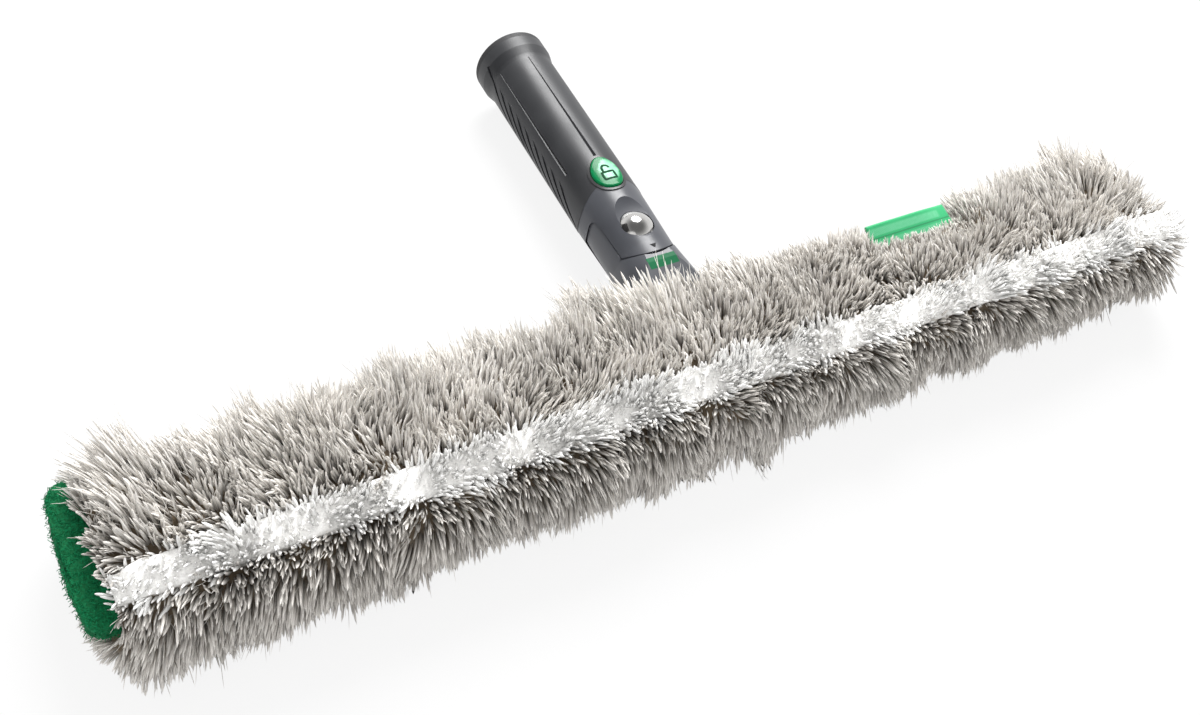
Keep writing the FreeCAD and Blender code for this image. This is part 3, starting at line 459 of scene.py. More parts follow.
def section_point(share, radius):
    """A point and normal on the sleeve's oblong section; share runs once round it from the top's middle."""
    flat, arc = 2 * CLOTH_FLAT, math.pi * radius
    run = (share % 1.0) * 2 * (flat + arc)
    if run < flat / 2:
        return Vector((0, -run, radius)), Vector((0, 0, 1))
    run -= flat / 2
    if run < arc:
        turn = run / radius
        normal = Vector((0, -math.sin(turn), math.cos(turn)))
        return Vector((0, -CLOTH_FLAT, 0)) + normal * radius, normal
    run -= arc
    if run < flat:
        return Vector((0, run - CLOTH_FLAT, -radius)), Vector((0, 0, -1))
    run -= flat
    if run < arc:
        turn = math.pi + run / radius
        normal = Vector((0, -math.sin(turn), math.cos(turn)))
        return Vector((0, CLOTH_FLAT, 0)) + normal * radius, normal
    run -= arc
    return Vector((0, flat / 2 - run, radius)), Vector((0, 0, 1))


def ramp(value, low, high):
    """0 below low, 1 above high, smooth between them."""
    share = min(1.0, max(0.0, (value - low) / (high - low)))
    return share * share * (3 - 2 * share)


def pad_side(place):
    """How much a place is where the pad is sewn on: the upper part of the left end."""
    return ramp(-place.x, CLOTH_END - 14 * MM, CLOTH_END - 4 * MM) * ramp(place.z, 24 * MM, 28 * MM)


def growth(place, normal):
    """The way that a lock grows: outwards, combed a little and spread at the ends."""
    front, top, back = -normal.y, normal.z, normal.y
    way = normal.copy()
    low_front = ramp(front, 0.15, 0.8) * ramp(top, 0.95, 0.1)
    way.z -= 1.25 * low_front
    way.x -= 0.36 * low_front
    way.y += 0.30 * ramp(top, 0.7, 1.0) * ramp(place.y, -10 * MM, 8 * MM)
    way.z += 0.35 * ramp(back, 0.2, 0.9) * ramp(top, -0.5, 0.3)
    end = ramp(abs(place.x), CLOTH_END - 16 * MM, CLOTH_END)
    way.x -= 0.30 * ramp(-place.x, 0.10, 0.25)
    way.x -= 0.22 * ramp(top, 0.3, 0.9) * ramp(place.x, -0.15, 0.0) * (1 - end)
    way.y -= 0.10 * stripe_share(place, normal)
    way.x += 0.12 * end if place.x > 0 else 0.4 * end * (1.5 * pad_side(place) - 1)
    if normal.x < -0.5 and place.z > PAD_LOW.z:
        return Vector((-0.25, place.y * 14, 1)).normalized()
    if abs(normal.x) > 0.5:
        way += Vector((0, place.y * 10, (place.z - AXIS_HEIGHT) * 13 - 0.3))
    return way.normalized()


def label_part(place):
    """How much the fur is parted, near the label on the handle's side."""
    left = ramp(place.x, LABEL_LOW.x - 16 * MM, LABEL_LOW.x - 4 * MM)
    right = ramp(-place.x, -LABEL_HIGH.x - 12 * MM, -LABEL_HIGH.x - 2 * MM)
    return left * right * ramp(place.y, 2 * MM, 16 * MM) * ramp(place.z, 18 * MM, 26 * MM)


# Where the fur stands taller or shorter along the sleeve: middle, half width and gain.
BACK_TUFTS = (
    (-0.246, 0.022, 0.42),
    (-0.150, 0.090, 0.20),
    (-0.034, 0.042, 0.44),
    (0.078, 0.040, -0.12),
    (0.232, 0.024, 0.42),
)
FRONT_TUFTS = ((-0.012, 0.062, 0.26),)


def tuft_gain(tufts, x):
    return sum(gain * (1 - ramp(abs(x - middle), 0.3 * half, half)) for middle, half, gain in tufts)


def lock_reach(place, normal):
    """Length of the fur at a place, as a share of the set length."""
    top_back = ramp(normal.y, -0.3, 0.5) * ramp(normal.z, -0.3, 0.4)
    low_front = ramp(-normal.y, 0.2, 0.7) * ramp(-normal.z, -0.5, 0.1)
    reach = 1.0 + 0.10 * ramp(normal.z, 0.3, 1.0) + top_back * (0.08 + tuft_gain(BACK_TUFTS, place.x))
    reach += low_front * tuft_gain(FRONT_TUFTS, place.x)
    reach *= 1.0 - 0.35 * ramp(-normal.z, 0.4, 1.0)
    reach *= 1.0 - 0.72 * label_part(place)
    if abs(normal.x) > 0.5:
        reach *= 0.68 if place.x < 0 else 0.48
    return reach * (1.0 - 0.35 * pad_side(place))


def stripe_share(place, normal):
    """1 in the pale stripe on the upper front shoulder, 0 outside it."""
    angle = math.degrees(math.atan2(-(place.y + CLOTH_FLAT), place.z - AXIS_HEIGHT))
    off = abs(angle - STRIPE_MIDDLE - STRIPE_TURN * place.x / CLOTH_END)
    return ramp(-off, -STRIPE_OUTER, -STRIPE_INNER)


def looseness(place, normal):
    """How tousled the fur is: more so at the ends and along the handle's side."""
    ends = ramp(abs(place.x), CLOTH_END - 60 * MM, CLOTH_END - 10 * MM)
    return max(0.8 * ends, ramp(normal.y, -0.1, 0.7) * ramp(normal.z, -0.3, 0.3))


def cover(place, normal):
    """Share of the locks that stand at a place: fewer below, none under the neck and the pad."""
    if abs(place.x) < NECK_HALF - 1 * MM and place.y > CLOTH_FLAT and abs(place.z - AXIS_HEIGHT) < 11 * MM:
        return 0.0
    if normal.x < -0.5 and place.z > PAD_LOW.z - 2 * MM:
        return 0.0
    if abs(normal.x) > 0.5:
        return 1.0
    return 0.40 + 0.30 * ramp(normal.z, -0.8, 0.0) + 0.30 * ramp(abs(normal.y), 0.0, 0.3)


def sleeve_surface(radius, half, fine=1):
    """Points, normals and faces of the sleeve's oblong tube with its two closed ends."""
    stations, steps, rings = 130 * fine, 72 * fine, 5
    rows = []
    for ring in range(rings):
        rows.append((-half, radius * (ring + 0.2) / rings, -1))
    for station in range(stations + 1):
        rows.append(((half - 1 * MM) * (2 * station / stations - 1), radius, 0))
    for ring in reversed(range(rings)):
        rows.append((half, radius * (ring + 0.2) / rings, 1))
    spots, normals, faces = [], [], []
    for x, reach, side in rows:
        for step in range(steps):
            spot, normal = section_point(step / steps, reach)
            spots.append(spot + Vector((x, 0, AXIS_HEIGHT)))
            normals.append(Vector((side, 0, 0)) if side else normal)
    for row in range(len(rows) - 1):
        for step in range(steps):
            after = (step + 1) % steps
            first, second = row * steps, (row + 1) * steps
            faces.append((first + step, first + after, second + after, second + step))
    return spots, normals, faces


def sleeve_base():
    """The surface that the fur grows on, with the growth written at each of its points."""
    spots, normals, faces = sleeve_surface(CLOTH_EDGE + ROOT_LIFT, CLOTH_END)
    mesh = new_mesh("sleeve_base", spots, faces)
    pairs = list(zip(spots, normals))
    for name, rule in (("reach", lock_reach), ("pale", stripe_share), ("cover", cover), ("loose", looseness)):
        values = [rule(spot, normal) for spot, normal in pairs]
        mesh.attributes.new(name, "FLOAT", "POINT").data.foreach_set("value", values)
    ways = [part for spot, normal in pairs for part in growth(spot, normal)]
    mesh.attributes.new("way", "FLOAT_VECTOR", "POINT").data.foreach_set("vector", ways)
    return placed("sleeve_base", mesh)


def undercoat_meshes(length, material):
    """The dense fur between the locks: one mesh below the grey fur and one below the pale stripe."""
    spots, normals, faces = sleeve_surface(CLOTH_EDGE + ROOT_LIFT, CLOTH_END, 2)
    shares, places = [], []
    for spot, normal in zip(spots, normals):
        share = stripe_share(spot, normal)
        rise = length * lock_reach(spot, normal) * (0.38 + 0.26 * share)
        rise *= 1 + 0.3 * (1 - share) * noise.noise(spot * 240)
        if cover(spot, normal) == 0:
            rise = 0.0
        place = spot + growth(spot, normal) * rise
        place.z = max(place.z, 1 * MM)
        shares.append(share)
        places.append(place)
    meshes = []
    for name, pale in (("undercoat_grey", False), ("undercoat_stripe", True)):
        kept = [face for face in faces if (sum(shares[corner] for corner in face) > 2) == pale]
        used = sorted({corner for face in kept for corner in face})
        order = {corner: number for number, corner in enumerate(used)}
        kept = [[order[corner] for corner in face] for face in kept]
        mesh = new_mesh(name, [places[corner] for corner in used], kept)
        pale_share = [shares[corner] for corner in used]
        mesh.attributes.new("pale", "FLOAT", "POINT").data.foreach_set("value", pale_share)
        mesh.materials.append(material)
        mesh.shade_smooth()
        meshes.append(mesh)
    return meshes


def undercoat_material(fur):
    """Dense short fur, pale in the stripe and dark elsewhere."""
    material, wiring, shader = new_material(
        "undercoat", Roughness=0.95, Specular_IOR_Level=0.1, Sheen_Weight=0.3
    )
    place = wiring.place()
    fuzz = wiring.noise(place, 1300.0, 4.0)
    ragged = wiring.span(wiring.noise(place, 160.0), 0.3, 0.7, -0.3, 0.3)
    share = wiring.span(wiring.plus(attribute(wiring, "pale"), ragged), 0.3, 0.7)
    tone = wiring.mixed(share, rgba(fur.root), rgba(fur.stripe_root))
    level = wiring.span(fuzz, 0.3, 0.7, 0.88, 1.08)
    wiring.feed(shader, "Base Color", wiring.mixed(1.0, tone, level, "MULTIPLY"))
    bump(wiring, shader, fuzz, 0.25, 0.4 * MM)
    return material


def geometry_tree(name, **inputs):
    """The start of a geometry tree with named inputs: its wiring and those inputs."""
    tree = bpy.data.node_groups.new(name, "GeometryNodeTree")
    for label, kind in {"Geometry": "Geometry", **inputs}.items():
        tree.interface.new_socket(label, in_out="INPUT", socket_type="NodeSocket" + kind)
    tree.interface.new_socket("Geometry", in_out="OUTPUT", socket_type="NodeSocketGeometry")
    wiring = Wiring(tree)
    return wiring, wiring.node("NodeGroupInput").outputs


def unit_line(wiring):
    """A straight upright line of five points, one metre long."""
    line = wiring.out("GeometryNodeCurvePrimitiveLine", "Curve", {"Start": (0, 0, 0), "End": (0, 0, 1)})
    return wiring.out("GeometryNodeResampleCurve", "Curve", {"Curve": line, "Count": 5})


def bent_lines(wiring, roots, line, way, scale):
    """A line at each root, turned its way, scaled and bent, and the share along each line."""
    turned = wiring.out("FunctionNodeAlignRotationToVector", "Rotation", {"Vector": way}, axis="Z")
    lines = wiring.out("GeometryNodeInstanceOnPoints", "Instances", {
        "Points": roots, "Instance": line, "Rotation": turned, "Scale": scale,
    })
    lines = wiring.shaped("RealizeInstances", lines)
    along = wiring.out("GeometryNodeSplineParameter", "Factor")
    bend = wiring.named("bend", "FLOAT_VECTOR")
    shift = wiring.vector("SCALE", bend, scale=wiring.times(along, along))
    return wiring.shaped("SetPosition", lines, {"Offset": shift}), along


def end_tree(wiring, geometry, material):
    """The end of a geometry tree: plain geometry in one material."""
    geometry = wiring.shaped("RealizeInstances", geometry)
    geometry = wiring.shaped("SetMaterial", geometry, {"Material": material})
    wiring.node("NodeGroupOutput", {"Geometry": geometry})
    return wiring.tree


def fur_tree():
    """Grows tapered, bent locks on the sleeve's surface."""
    wiring, given = geometry_tree(
        "Fur locks", Spacing="Float", Length="Float", Width="Float", Flatness="Float", Sides="Int",
        Lean="Float", Spread="Float", Curl="Float", Droop="Float", Gather="Float", Seed="Int", Pale="Float",
        From="Float", To="Float", Material="Material",
    )
    seed = given["Seed"]

    # Roots, spaced evenly; those of the other colour and of other stretches are left out.
    roots = wiring.out("GeometryNodeDistributePointsOnFaces", "Points", {
        "Mesh": given["Geometry"], "Distance Min": given["Spacing"], "Density Max": 2.2e6,
        "Density Factor": wiring.named("cover"), "Seed": seed,
    }, distribute_method="POISSON")
    place = wiring.out("GeometryNodeInputPosition", "Position")
    ragged = wiring.span(wiring.noise(place, 160.0), 0.3, 0.7, -0.45, 0.45)
    pale = wiring.maths("GREATER_THAN", wiring.plus(wiring.named("pale"), ragged), 0.5)
    other = wiring.maths("ABSOLUTE", wiring.maths("SUBTRACT", pale, given["Pale"]))
    across = wiring.split(place)["X"]
    before = wiring.maths("LESS_THAN", across, given["From"])
    beyond = wiring.maths("SUBTRACT", 1.0, wiring.maths("LESS_THAN", across, given["To"]))
    left_out = wiring.maths("MAXIMUM", wiring.maths("MAXIMUM", before, beyond), other)
    drop = wiring.maths("GREATER_THAN", left_out, 0.5)
    roots = wiring.shaped("DeleteGeometry", roots, {"Selection": drop}, domain="POINT")

    # Which way each lock grows, and how it bends.
    centred = (0.5, 0.5, 0.5)
    wide = wiring.vector("SUBTRACT", wiring.noise(place, 26.0, 1.0, "Color"), centred)
    tight = wiring.vector("SUBTRACT", wiring.noise(place, 95.0, 1.0, "Color"), centred)
    loose = wiring.maths("MULTIPLY_ADD", wiring.named("loose"), 1.6, 1.0)
    leaning = wiring.times(wiring.times(given["Lean"], 2.0), loose)
    lean = wiring.vector("SCALE", wiring.vector("ADD", wide, tight), scale=leaning)
    stray = wiring.chance((-1, -1, -1), (1, 1, 1), wiring.plus(seed, 1), "FLOAT_VECTOR")
    spread = wiring.vector("SCALE", stray, scale=wiring.times(given["Spread"], loose))
    way = wiring.vector("ADD", wiring.vector("ADD", wiring.named("way", "FLOAT_VECTOR"), lean), spread)
    length = wiring.times(given["Length"], wiring.named("reach"))
    length = wiring.times(length, wiring.chance(0.74, 1.12, wiring.plus(seed, 2)))
    sway = wiring.vector("SUBTRACT", wiring.noise(place, 60.0, 1.0, "Color"), centred)
    alone = wiring.chance((-0.3, -0.3, -0.3), (0.3, 0.3, 0.3), wiring.plus(seed, 3), "FLOAT_VECTOR")
    swing = wiring.vector("ADD", wiring.vector("SCALE", sway, scale=3.0), alone)
    sag = wiring.join(Z=wiring.times(given["Droop"], -1.0))
    bend = wiring.vector("ADD", wiring.vector("SCALE", swing, scale=given["Curl"]), sag)
    bend = wiring.vector("SCALE", bend, scale=length)

    # The strands of one tuft draw in to its middle.
    tuft = wiring.node("ShaderNodeTexVoronoi", {"Vector": place, "Scale": 300.0}).outputs
    inward = wiring.vector("SUBTRACT", tuft["Position"], place)
    bend = wiring.vector("ADD", bend, wiring.vector("SCALE", inward, scale=given["Gather"]))
    girth = wiring.times(given["Width"], wiring.chance(0.65, 1.25, wiring.plus(seed, 4)))
    girth = wiring.times(girth, wiring.span(wiring.named("reach"), 0.3, 1.0, 0.5, 1.0))
    shade = wiring.chance(0.0, 1.0, wiring.plus(seed, 5))
    patch = wiring.span(wiring.noise(place, 45.0, 2.0), 0.3, 0.7)
    tuft_shade = wiring.split(tuft["Color"])["X"]
    shade = wiring.plus(wiring.times(shade, 0.35), wiring.times(patch, 0.30))
    shade = wiring.maths("MULTIPLY_ADD", tuft_shade, 0.35, shade)
    roots = wiring.store(roots, "bend", bend, "FLOAT_VECTOR")
    roots = wiring.store(roots, "girth", girth)
    roots = wiring.store(roots, "shade", shade)

    # One straight line for each root, bent and given its tapering thickness.
    line = unit_line(wiring)
    even = wiring.out("GeometryNodeSplineParameter", "Factor")
    crowded = wiring.maths("SUBTRACT", 1.0, wiring.maths("POWER", wiring.maths("SUBTRACT", 1.0, even), 1.8))
    line = wiring.shaped("SetPosition", line, {"Position": wiring.join(Z=crowded)})
    lines, along = bent_lines(wiring, roots, line, way, wiring.join(X=1.0, Y=1.0, Z=length))
    lines = wiring.store(lines, "along", along)
    cube = wiring.times(wiring.times(along, along), along)
    narrowing = wiring.maths("SQRT", wiring.maths("SUBTRACT", 1.0, cube))
    taper = wiring.times(narrowing, wiring.maths("MULTIPLY_ADD", along, 0.5, 0.5))
    thick = wiring.times(wiring.named("girth"), wiring.maths("MAXIMUM", taper, 0.02))
    tilt = wiring.times(wiring.named("shade"), 40.0)
    lines = wiring.out("GeometryNodeSetCurveTilt", "Curve", {"Curve": lines, "Tilt": tilt})
    ring = {"Resolution": given["Sides"], "Radius": 1.0}
    profile = wiring.out("GeometryNodeCurvePrimitiveCircle", "Curve", ring)
    around = wiring.split(place)["X"]
    profile = wiring.store(profile, "around", around)
    profile = wiring.shaped("Transform", profile, {"Scale": wiring.join(X=1.0, Y=given["Flatness"], Z=1.0)})
    tubes = {"Curve": lines, "Profile Curve": profile, "Scale": thick}
    locks = wiring.out("GeometryNodeCurveToMesh", "Mesh", tubes)
    locks = wiring.shaped("SetShadeSmooth", locks, {"Shade Smooth": True})

    # Nothing reaches below the surface that the sleeve lies on, or far above the sleeve.
    parts = wiring.split(place)
    least = wiring.maths("MULTIPLY_ADD", wiring.named("shade"), 2.5 * MM, 0.2 * MM)
    most = wiring.maths("MULTIPLY_ADD", wiring.named("shade"), -3 * MM, FUR_TOP)
    height = wiring.maths("MINIMUM", wiring.maths("MAXIMUM", parts["Z"], least), most)
    raised = wiring.join(X=parts["X"], Y=parts["Y"], Z=height)
    locks = wiring.shaped("SetPosition", locks, {"Position": raised})
    return end_tree(wiring, locks, given["Material"])


def grown(name, base, tree, values):
    """What a tree grows on a surface, as a plain mesh."""
    modifier = base.modifiers.new(name, "NODES")
    modifier.node_group = tree
    for item in tree.interface.items_tree:
        if item.in_out == "INPUT" and item.name in values:
            modifier[item.identifier] = values[item.name]
    graph = bpy.context.evaluated_depsgraph_get()
    final = base.evaluated_get(graph)
    mesh = bpy.data.meshes.new_from_object(final, preserve_all_data_layers=True, depsgraph=graph)
    base.modifiers.remove(modifier)
    mesh.name = name
    if not mesh.polygons:
        raise RuntimeError("nothing grew for " + name)
    return mesh


class SCRUBBER_OT_fur(bpy.types.Operator):
    """Grow the sleeve's grey fur, its pale stripe and the loose wisps"""

    bl_idname = "scrubber.fur"
    bl_label = "Furry sleeve"

    def execute(self, context):
        fur = settings().fur
        grey = fur_material("grey_fur", fur.root, fur.tip, 0.30, 1.0)
        pale = fur_material("pale_fur", fur.stripe_root, fur.stripe_tip, 0.10, 0.2)
        base, tree = sleeve_base(), fur_tree()
        common = {"Lean": fur.lean, "Curl": fur.curl, "Droop": fur.droop, "Seed": fur.seed, "Spread": 0.06}
        locks = {
            "Spacing": fur.spacing, "Length": fur.length, "Width": fur.width, "Flatness": 0.5,
            "Sides": 3, "Gather": 0.75,
        }
        wisps = {
            "Spacing": fur.wisp_spacing, "Length": fur.length * 1.10, "Width": fur.wisp_width,
            "Flatness": 1.0, "Sides": 3, "Spread": 0.20, "Curl": fur.curl * 1.4, "Gather": 0.3,
        }
        far = CLOTH_END + 10 * MM
        sections = 8
        for number in range(sections):
            low = -far + 2 * far * number / sections
            stretch = {"From": low, "To": low + 2 * far / sections, "Pale": 0.0, "Material": grey}
            for label, kind in (("fur_grey", locks), ("wisps_grey", wisps)):
                name = f"{label}_{number + 1}"
                mesh = grown(name, base, tree, {**common, **kind, **stretch})
                new_piece(name, mesh, "bar", ["pile_grey"])
        stripe = {
            **common, **locks, "Pale": 1.0, "Material": pale, "Spacing": fur.stripe_spacing, "Spread": 0.08,
            "Width": fur.width * 1.1, "Flatness": 0.8, "Gather": 0.35, "Lean": fur.lean * 0.35,
        }
        for name, low, high in (("fur_stripe_left", -far, 0.0), ("fur_stripe_right", 0.0, far)):
            mesh = grown(name, base, tree, {**stripe, "From": low, "To": high})
            new_piece(name, mesh, "bar", ["pile_white_stripe"])
        bpy.data.objects.remove(base)
        dark_coat, pale_coat = undercoat_meshes(fur.length, undercoat_material(fur))
        new_piece("undercoat_grey", dark_coat, "bar", ["pile_grey"])
        new_piece("undercoat_stripe", pale_coat, "bar", ["pile_white_stripe"])
        return {"FINISHED"}


# Sleeve cloth, closure tapes and label.


def finish_sheet(piece, thickness):
    wall = piece.modifiers.new("thickness", "SOLIDIFY")
    wall.thickness = thickness
    wall.offset = 0.0


def map_metres(mesh, flat_places):
    """A UV map in metres, from a flat place for each vertex."""
    layer = mesh.uv_layers.new(name="cloth")
    for loop in mesh.loops:
        layer.data[loop.index].uv = flat_places[loop.vertex_index]


def grid_sheet(name, columns, rows, rule):
    """A sheet whose rule gives a point and its flat place for each share across and along."""
    spots, flat = [], []
    for row in range(rows + 1):
        for column in range(columns + 1):
            spot, place = rule(column / columns, row / rows)
            spots.append(spot)
            flat.append(place)
    mesh = new_mesh(name, spots, grid_faces(columns, rows))
    map_metres(mesh, flat)
    mesh.shade_smooth()
    return mesh


class SCRUBBER_OT_sleeve(bpy.types.Operator):
    """Make the sleeve's knitted cloth and the closure tapes below it"""

    bl_idname = "scrubber.sleeve"
    bl_label = "Sleeve cloth"

    def execute(self, context):
        look = settings().cloth
        knit = woven_material("sleeve_knit", look.backing, tinted(look.backing, 0.6), 3000.0)
        self.make_backing(knit)
        tape = woven_material("closure_tape", look.tape, tinted(look.tape, 1.8), 4200.0)
        hooks = woven_material("closure_hooks", tinted(look.tape, 0.7), look.tape, 5200.0)
        self.make_tape("closure_loops", "closure_loop_strip", tape, "sleeve_backing")
        self.make_tape("closure_hooks", "closure_hook_strip", hooks, "closure_loops")
        self.make_tape("closure_cover", "closure_flap", knit, "closure_hooks")
        return {"FINISHED"}

    @staticmethod
    def make_backing(material):
        thickness = 1.2 * MM
        spots, normals, faces = sleeve_surface(CLOTH_EDGE - thickness / 2, CLOTH_END - thickness / 2)
        reach = NECK_HALF + 0.5 * MM
        kept = []
        for face in faces:
            middle = sum((spots[corner] for corner in face), Vector()) / 4
            if middle.y < CLOTH_FLAT or abs(middle.x) > reach:
                kept.append(face)
        mesh = new_mesh("sleeve_backing", spots, kept)
        map_metres(mesh, [(spot.x, spot.y + spot.z) for spot in spots])
        mesh.materials.append(material)
        mesh.shade_smooth()
        piece = new_piece("sleeve_backing", mesh, "bar", ["sleeve_cloth"])
        finish_sheet(piece, thickness)

    @staticmethod
    def make_tape(name, node, material, rests_on):
        """A tape in its CAD node's place, a little wavy along its length."""
        low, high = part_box(node)
        middle, thickness = (low.z + high.z) / 2, (high.z - low.z) * 0.55
        width, length = high.y - low.y, high.x - low.x

        def lie(across, along):
            x, y = low.x + length * along, low.y + width * across
            wave = 0.12 * MM * math.sin(along * 31) * math.cos(across * 3)
            return Vector((x, y, middle + wave)), (length * along, width * across)

        mesh = grid_sheet(name, 8, 60, lie)
        mesh.flip_normals()
        mesh.materials.append(material)
        piece = new_piece(name, mesh, "bar", [node])
        finish_sheet(piece, thickness)


class SCRUBBER_OT_label(bpy.types.Operator):
    """Make the folded label on the handle's side of the sleeve"""

    bl_idname = "scrubber.label"
    bl_label = "Label"

    def execute(self, context):
        look = settings().cloth
        low, high = LABEL_LOW, LABEL_HIGH
        width, rise = high.x - low.x, high.z - low.z
        reach = math.hypot(high.y - low.y, rise)
        tilt = math.atan2(rise, high.y - low.y)
        outward = Vector((0, math.cos(tilt), math.sin(tilt)))
        upward = Vector((0, -math.sin(tilt), math.cos(tilt)))
        seam = Vector((low.x, low.y, low.z))
        fold = 0.55 * MM
        leaf = reach - fold

        def lie(across, along):
            """Out along the upper leaf, round the fold and back below."""
            run = along * (2 * leaf + math.pi * fold)
            if run < leaf:
                out, lift = run, fold
            elif run < leaf + math.pi * fold:
                turn = (run - leaf) / fold
                out, lift = leaf + fold * math.sin(turn), fold * math.cos(turn)
            else:
                out, lift = 2 * leaf + math.pi * fold - run, -fold
            share = out / reach
            lift += 0.9 * MM * share * math.sin(4.2 * across + 0.6)
            lift += 0.35 * MM * share * math.sin(11 * across)
            lift -= 2.2 * MM * share * share * ramp(across, 0.55, 1.0)
            spot = seam + RIGHT * (width * across) + outward * out + upward * (lift + fold)
            return spot, (width * across, run)

        mesh = grid_sheet("woven_label", 44, 60, lie)
        mesh.materials.append(self.cloth(look, width, leaf))
        piece = new_piece("woven_label", mesh, "bar", ["label_tag"])
        finish_sheet(piece, 0.3 * MM)
        return {"FINISHED"}

    @staticmethod
    def cloth(look, width, leaf):
        """Plain green weave with two paler woven bands, a dark line between them and a plain side edge."""
        material, wiring, shader = new_material("label_weave", Roughness=0.55, Sheen_Weight=0.15)
        weave = place_group(wiring, "weave", {"Threads": 5200.0})
        parts = wiring.split(wiring.place("UV"))
        across, along = parts["X"], parts["Y"]
        fuzz = wiring.noise(wiring.place("UV"), 700.0, 3.0)
        middle = leaf - 6.5 * MM
        off = wiring.maths("ABSOLUTE", wiring.maths("SUBTRACT", along, middle))
        band = wiring.times(wiring.span(off, 1.1 * MM, 1.6 * MM), wiring.span(off, 5.4 * MM, 4.6 * MM))
        band = wiring.times(band, wiring.span(across, width - 5.0 * MM, width - 6.5 * MM))
        threads = wiring.times(weave.outputs["Mask"], wiring.span(fuzz, 0.35, 0.6, 0.35, 1.0))
        share = wiring.maths("MULTIPLY_ADD", band, wiring.maths("MULTIPLY_ADD", threads, 0.55, 0.30), 0.0)
        line = wiring.span(off, 0.5 * MM, 0.25 * MM)
        base = wiring.mixed(share, rgba(look.label), rgba(look.label_band))
        dark = rgba(tinted(look.label, 0.35))
        base = wiring.mixed(wiring.times(line, 0.6), base, dark)
        wiring.feed(shader, "Base Color", base)
        bump(wiring, shader, weave.outputs["Height"], 0.5, 0.12 * MM)
        return material


# The scouring pad.


def pad_outline(low, high, steps):
    """The pad's outline from above: straight at the sleeve, bowed and round-cornered outside."""
    corner, bow = 6 * MM, 225 * MM
    middle = (low.y + high.y) / 2
    outline = []
    corners = [(high.x, low.y), (high.x, high.y), (low.x, high.y), (low.x, low.y)]
    for (x0, y0), (x1, y1) in zip(corners, corners[1:] + corners[:1]):
        for step in range(steps):
            share = step / steps
            x, y = x0 + (x1 - x0) * share, y0 + (y1 - y0) * share
            outline.append(Vector((x, y, 0)))
    rounded = []
    for spot in outline:
        x, y = spot.x, spot.y
        sink = (y - middle) ** 2 / (2 * bow)
        share = (high.x - x) / (high.x - low.x)
        x += sink * share
        for side in (low.y, high.y):
            inner = side + math.copysign(corner, middle - side)
            past = (y - inner) * math.copysign(1.0, side - middle)
            edge = low.x + sink + corner
            if past > 0 and x < edge:
                offset = Vector((x - edge, y - inner, 0))
                limit = max(abs(offset.x), abs(offset.y))
                if offset.length > 0:
                    offset *= limit / offset.length
                x, y = edge + offset.x, inner + offset.y
        rounded.append(Vector((x, y, 0)))
    return rounded


class SCRUBBER_OT_pad(bpy.types.Operator):
    """Make the scouring pad and its curly fibres"""

    bl_idname = "scrubber.pad"
    bl_label = "Scouring pad"

    def execute(self, context):
        look = settings().cloth
        body = self.body(PAD_LOW - 2 * MM * RIGHT, PAD_HIGH)
        material = self.felt("scouring_felt", look.pad, look.pad_edge)
        body.materials.append(material)
        pad = new_piece("scouring_pad", body, "bar", ["scrub_pad"])
        fibres = grown("pad_fibres", pad, fibre_tree(), {
            "Spacing": 0.62 * MM, "Length": 1.7 * MM, "Width": 0.13 * MM, "Seed": 11,
            "Material": self.felt("pad_fibre", look.pad_edge, look.pad),
        })
        new_piece("pad_fibres", fibres, "bar")
        return {"FINISHED"}

    @staticmethod
    def body(low, high):
        """A flat pad with rounded edges and an uneven, felted surface."""
        outline = pad_outline(low, high, 40)
        middle = sum(outline, Vector()) / len(outline)
        thick, rounding = high.z - low.z, 2.0 * MM
        layers = []
        for step in range(4):
            turn = math.pi / 2 * step / 3
            layers.append((rounding * (1 - math.sin(turn)), rounding * (1 - math.cos(turn))))
        profile = layers + [(0.0, thick / 2)] + [(inset, thick - rise) for inset, rise in reversed(layers)]
        made = bmesh.new()
        loops = []
        shrink = [0.15, 0.4, 0.65, 0.85]
        rows = [(None, share, 0.0) for share in shrink] + [(inset, 1.0, rise) for inset, rise in profile]
        rows += [(None, share, thick) for share in reversed(shrink)]
        for inset, share, rise in rows:
            loop = []
            for spot in outline:
                inward = middle - spot
                if inset is None:
                    place = middle - inward * share
                else:
                    place = spot + inward.normalized() * inset
                loop.append(made.verts.new((place.x, place.y, low.z + rise)))
            loops.append(loop)
        for first, second in zip(loops, loops[1:]):
            for number in range(len(outline)):
                after = (number + 1) % len(outline)
                made.faces.new((first[number], first[after], second[after], second[number]))
        made.faces.new(list(reversed(loops[0])))
        made.faces.new(loops[-1])
        bmesh.ops.recalc_face_normals(made, faces=made.faces[:])
        made.normal_update()
        for vert in made.verts:
            rough = noise.noise(vert.co * 420) * 0.45 + noise.noise(vert.co * 1300) * 0.25
            vert.co += vert.normal * (rough - 0.35) * MM
        mesh = bpy.data.meshes.new("scouring_pad")
        made.to_mesh(mesh)
        made.free()
        mesh.shade_smooth()
        return mesh

    @staticmethod
    def felt(name, colour, other):
        material, wiring, shader = new_material(name, Roughness=0.75, Specular_IOR_Level=0.25)
        place = wiring.place()
        curls = wiring.noise(place, 900.0, 4.0)
        wide = wiring.noise(place, 160.0, 2.0)
        share = wiring.times(wiring.span(curls, 0.42, 0.68), wiring.span(wide, 0.3, 0.7, 0.4, 1.0))
        wiring.feed(shader, "Base Color", wiring.mixed(share, rgba(colour), rgba(other)))
        bump(wiring, shader, curls, 0.9, 0.6 * MM)
        return material


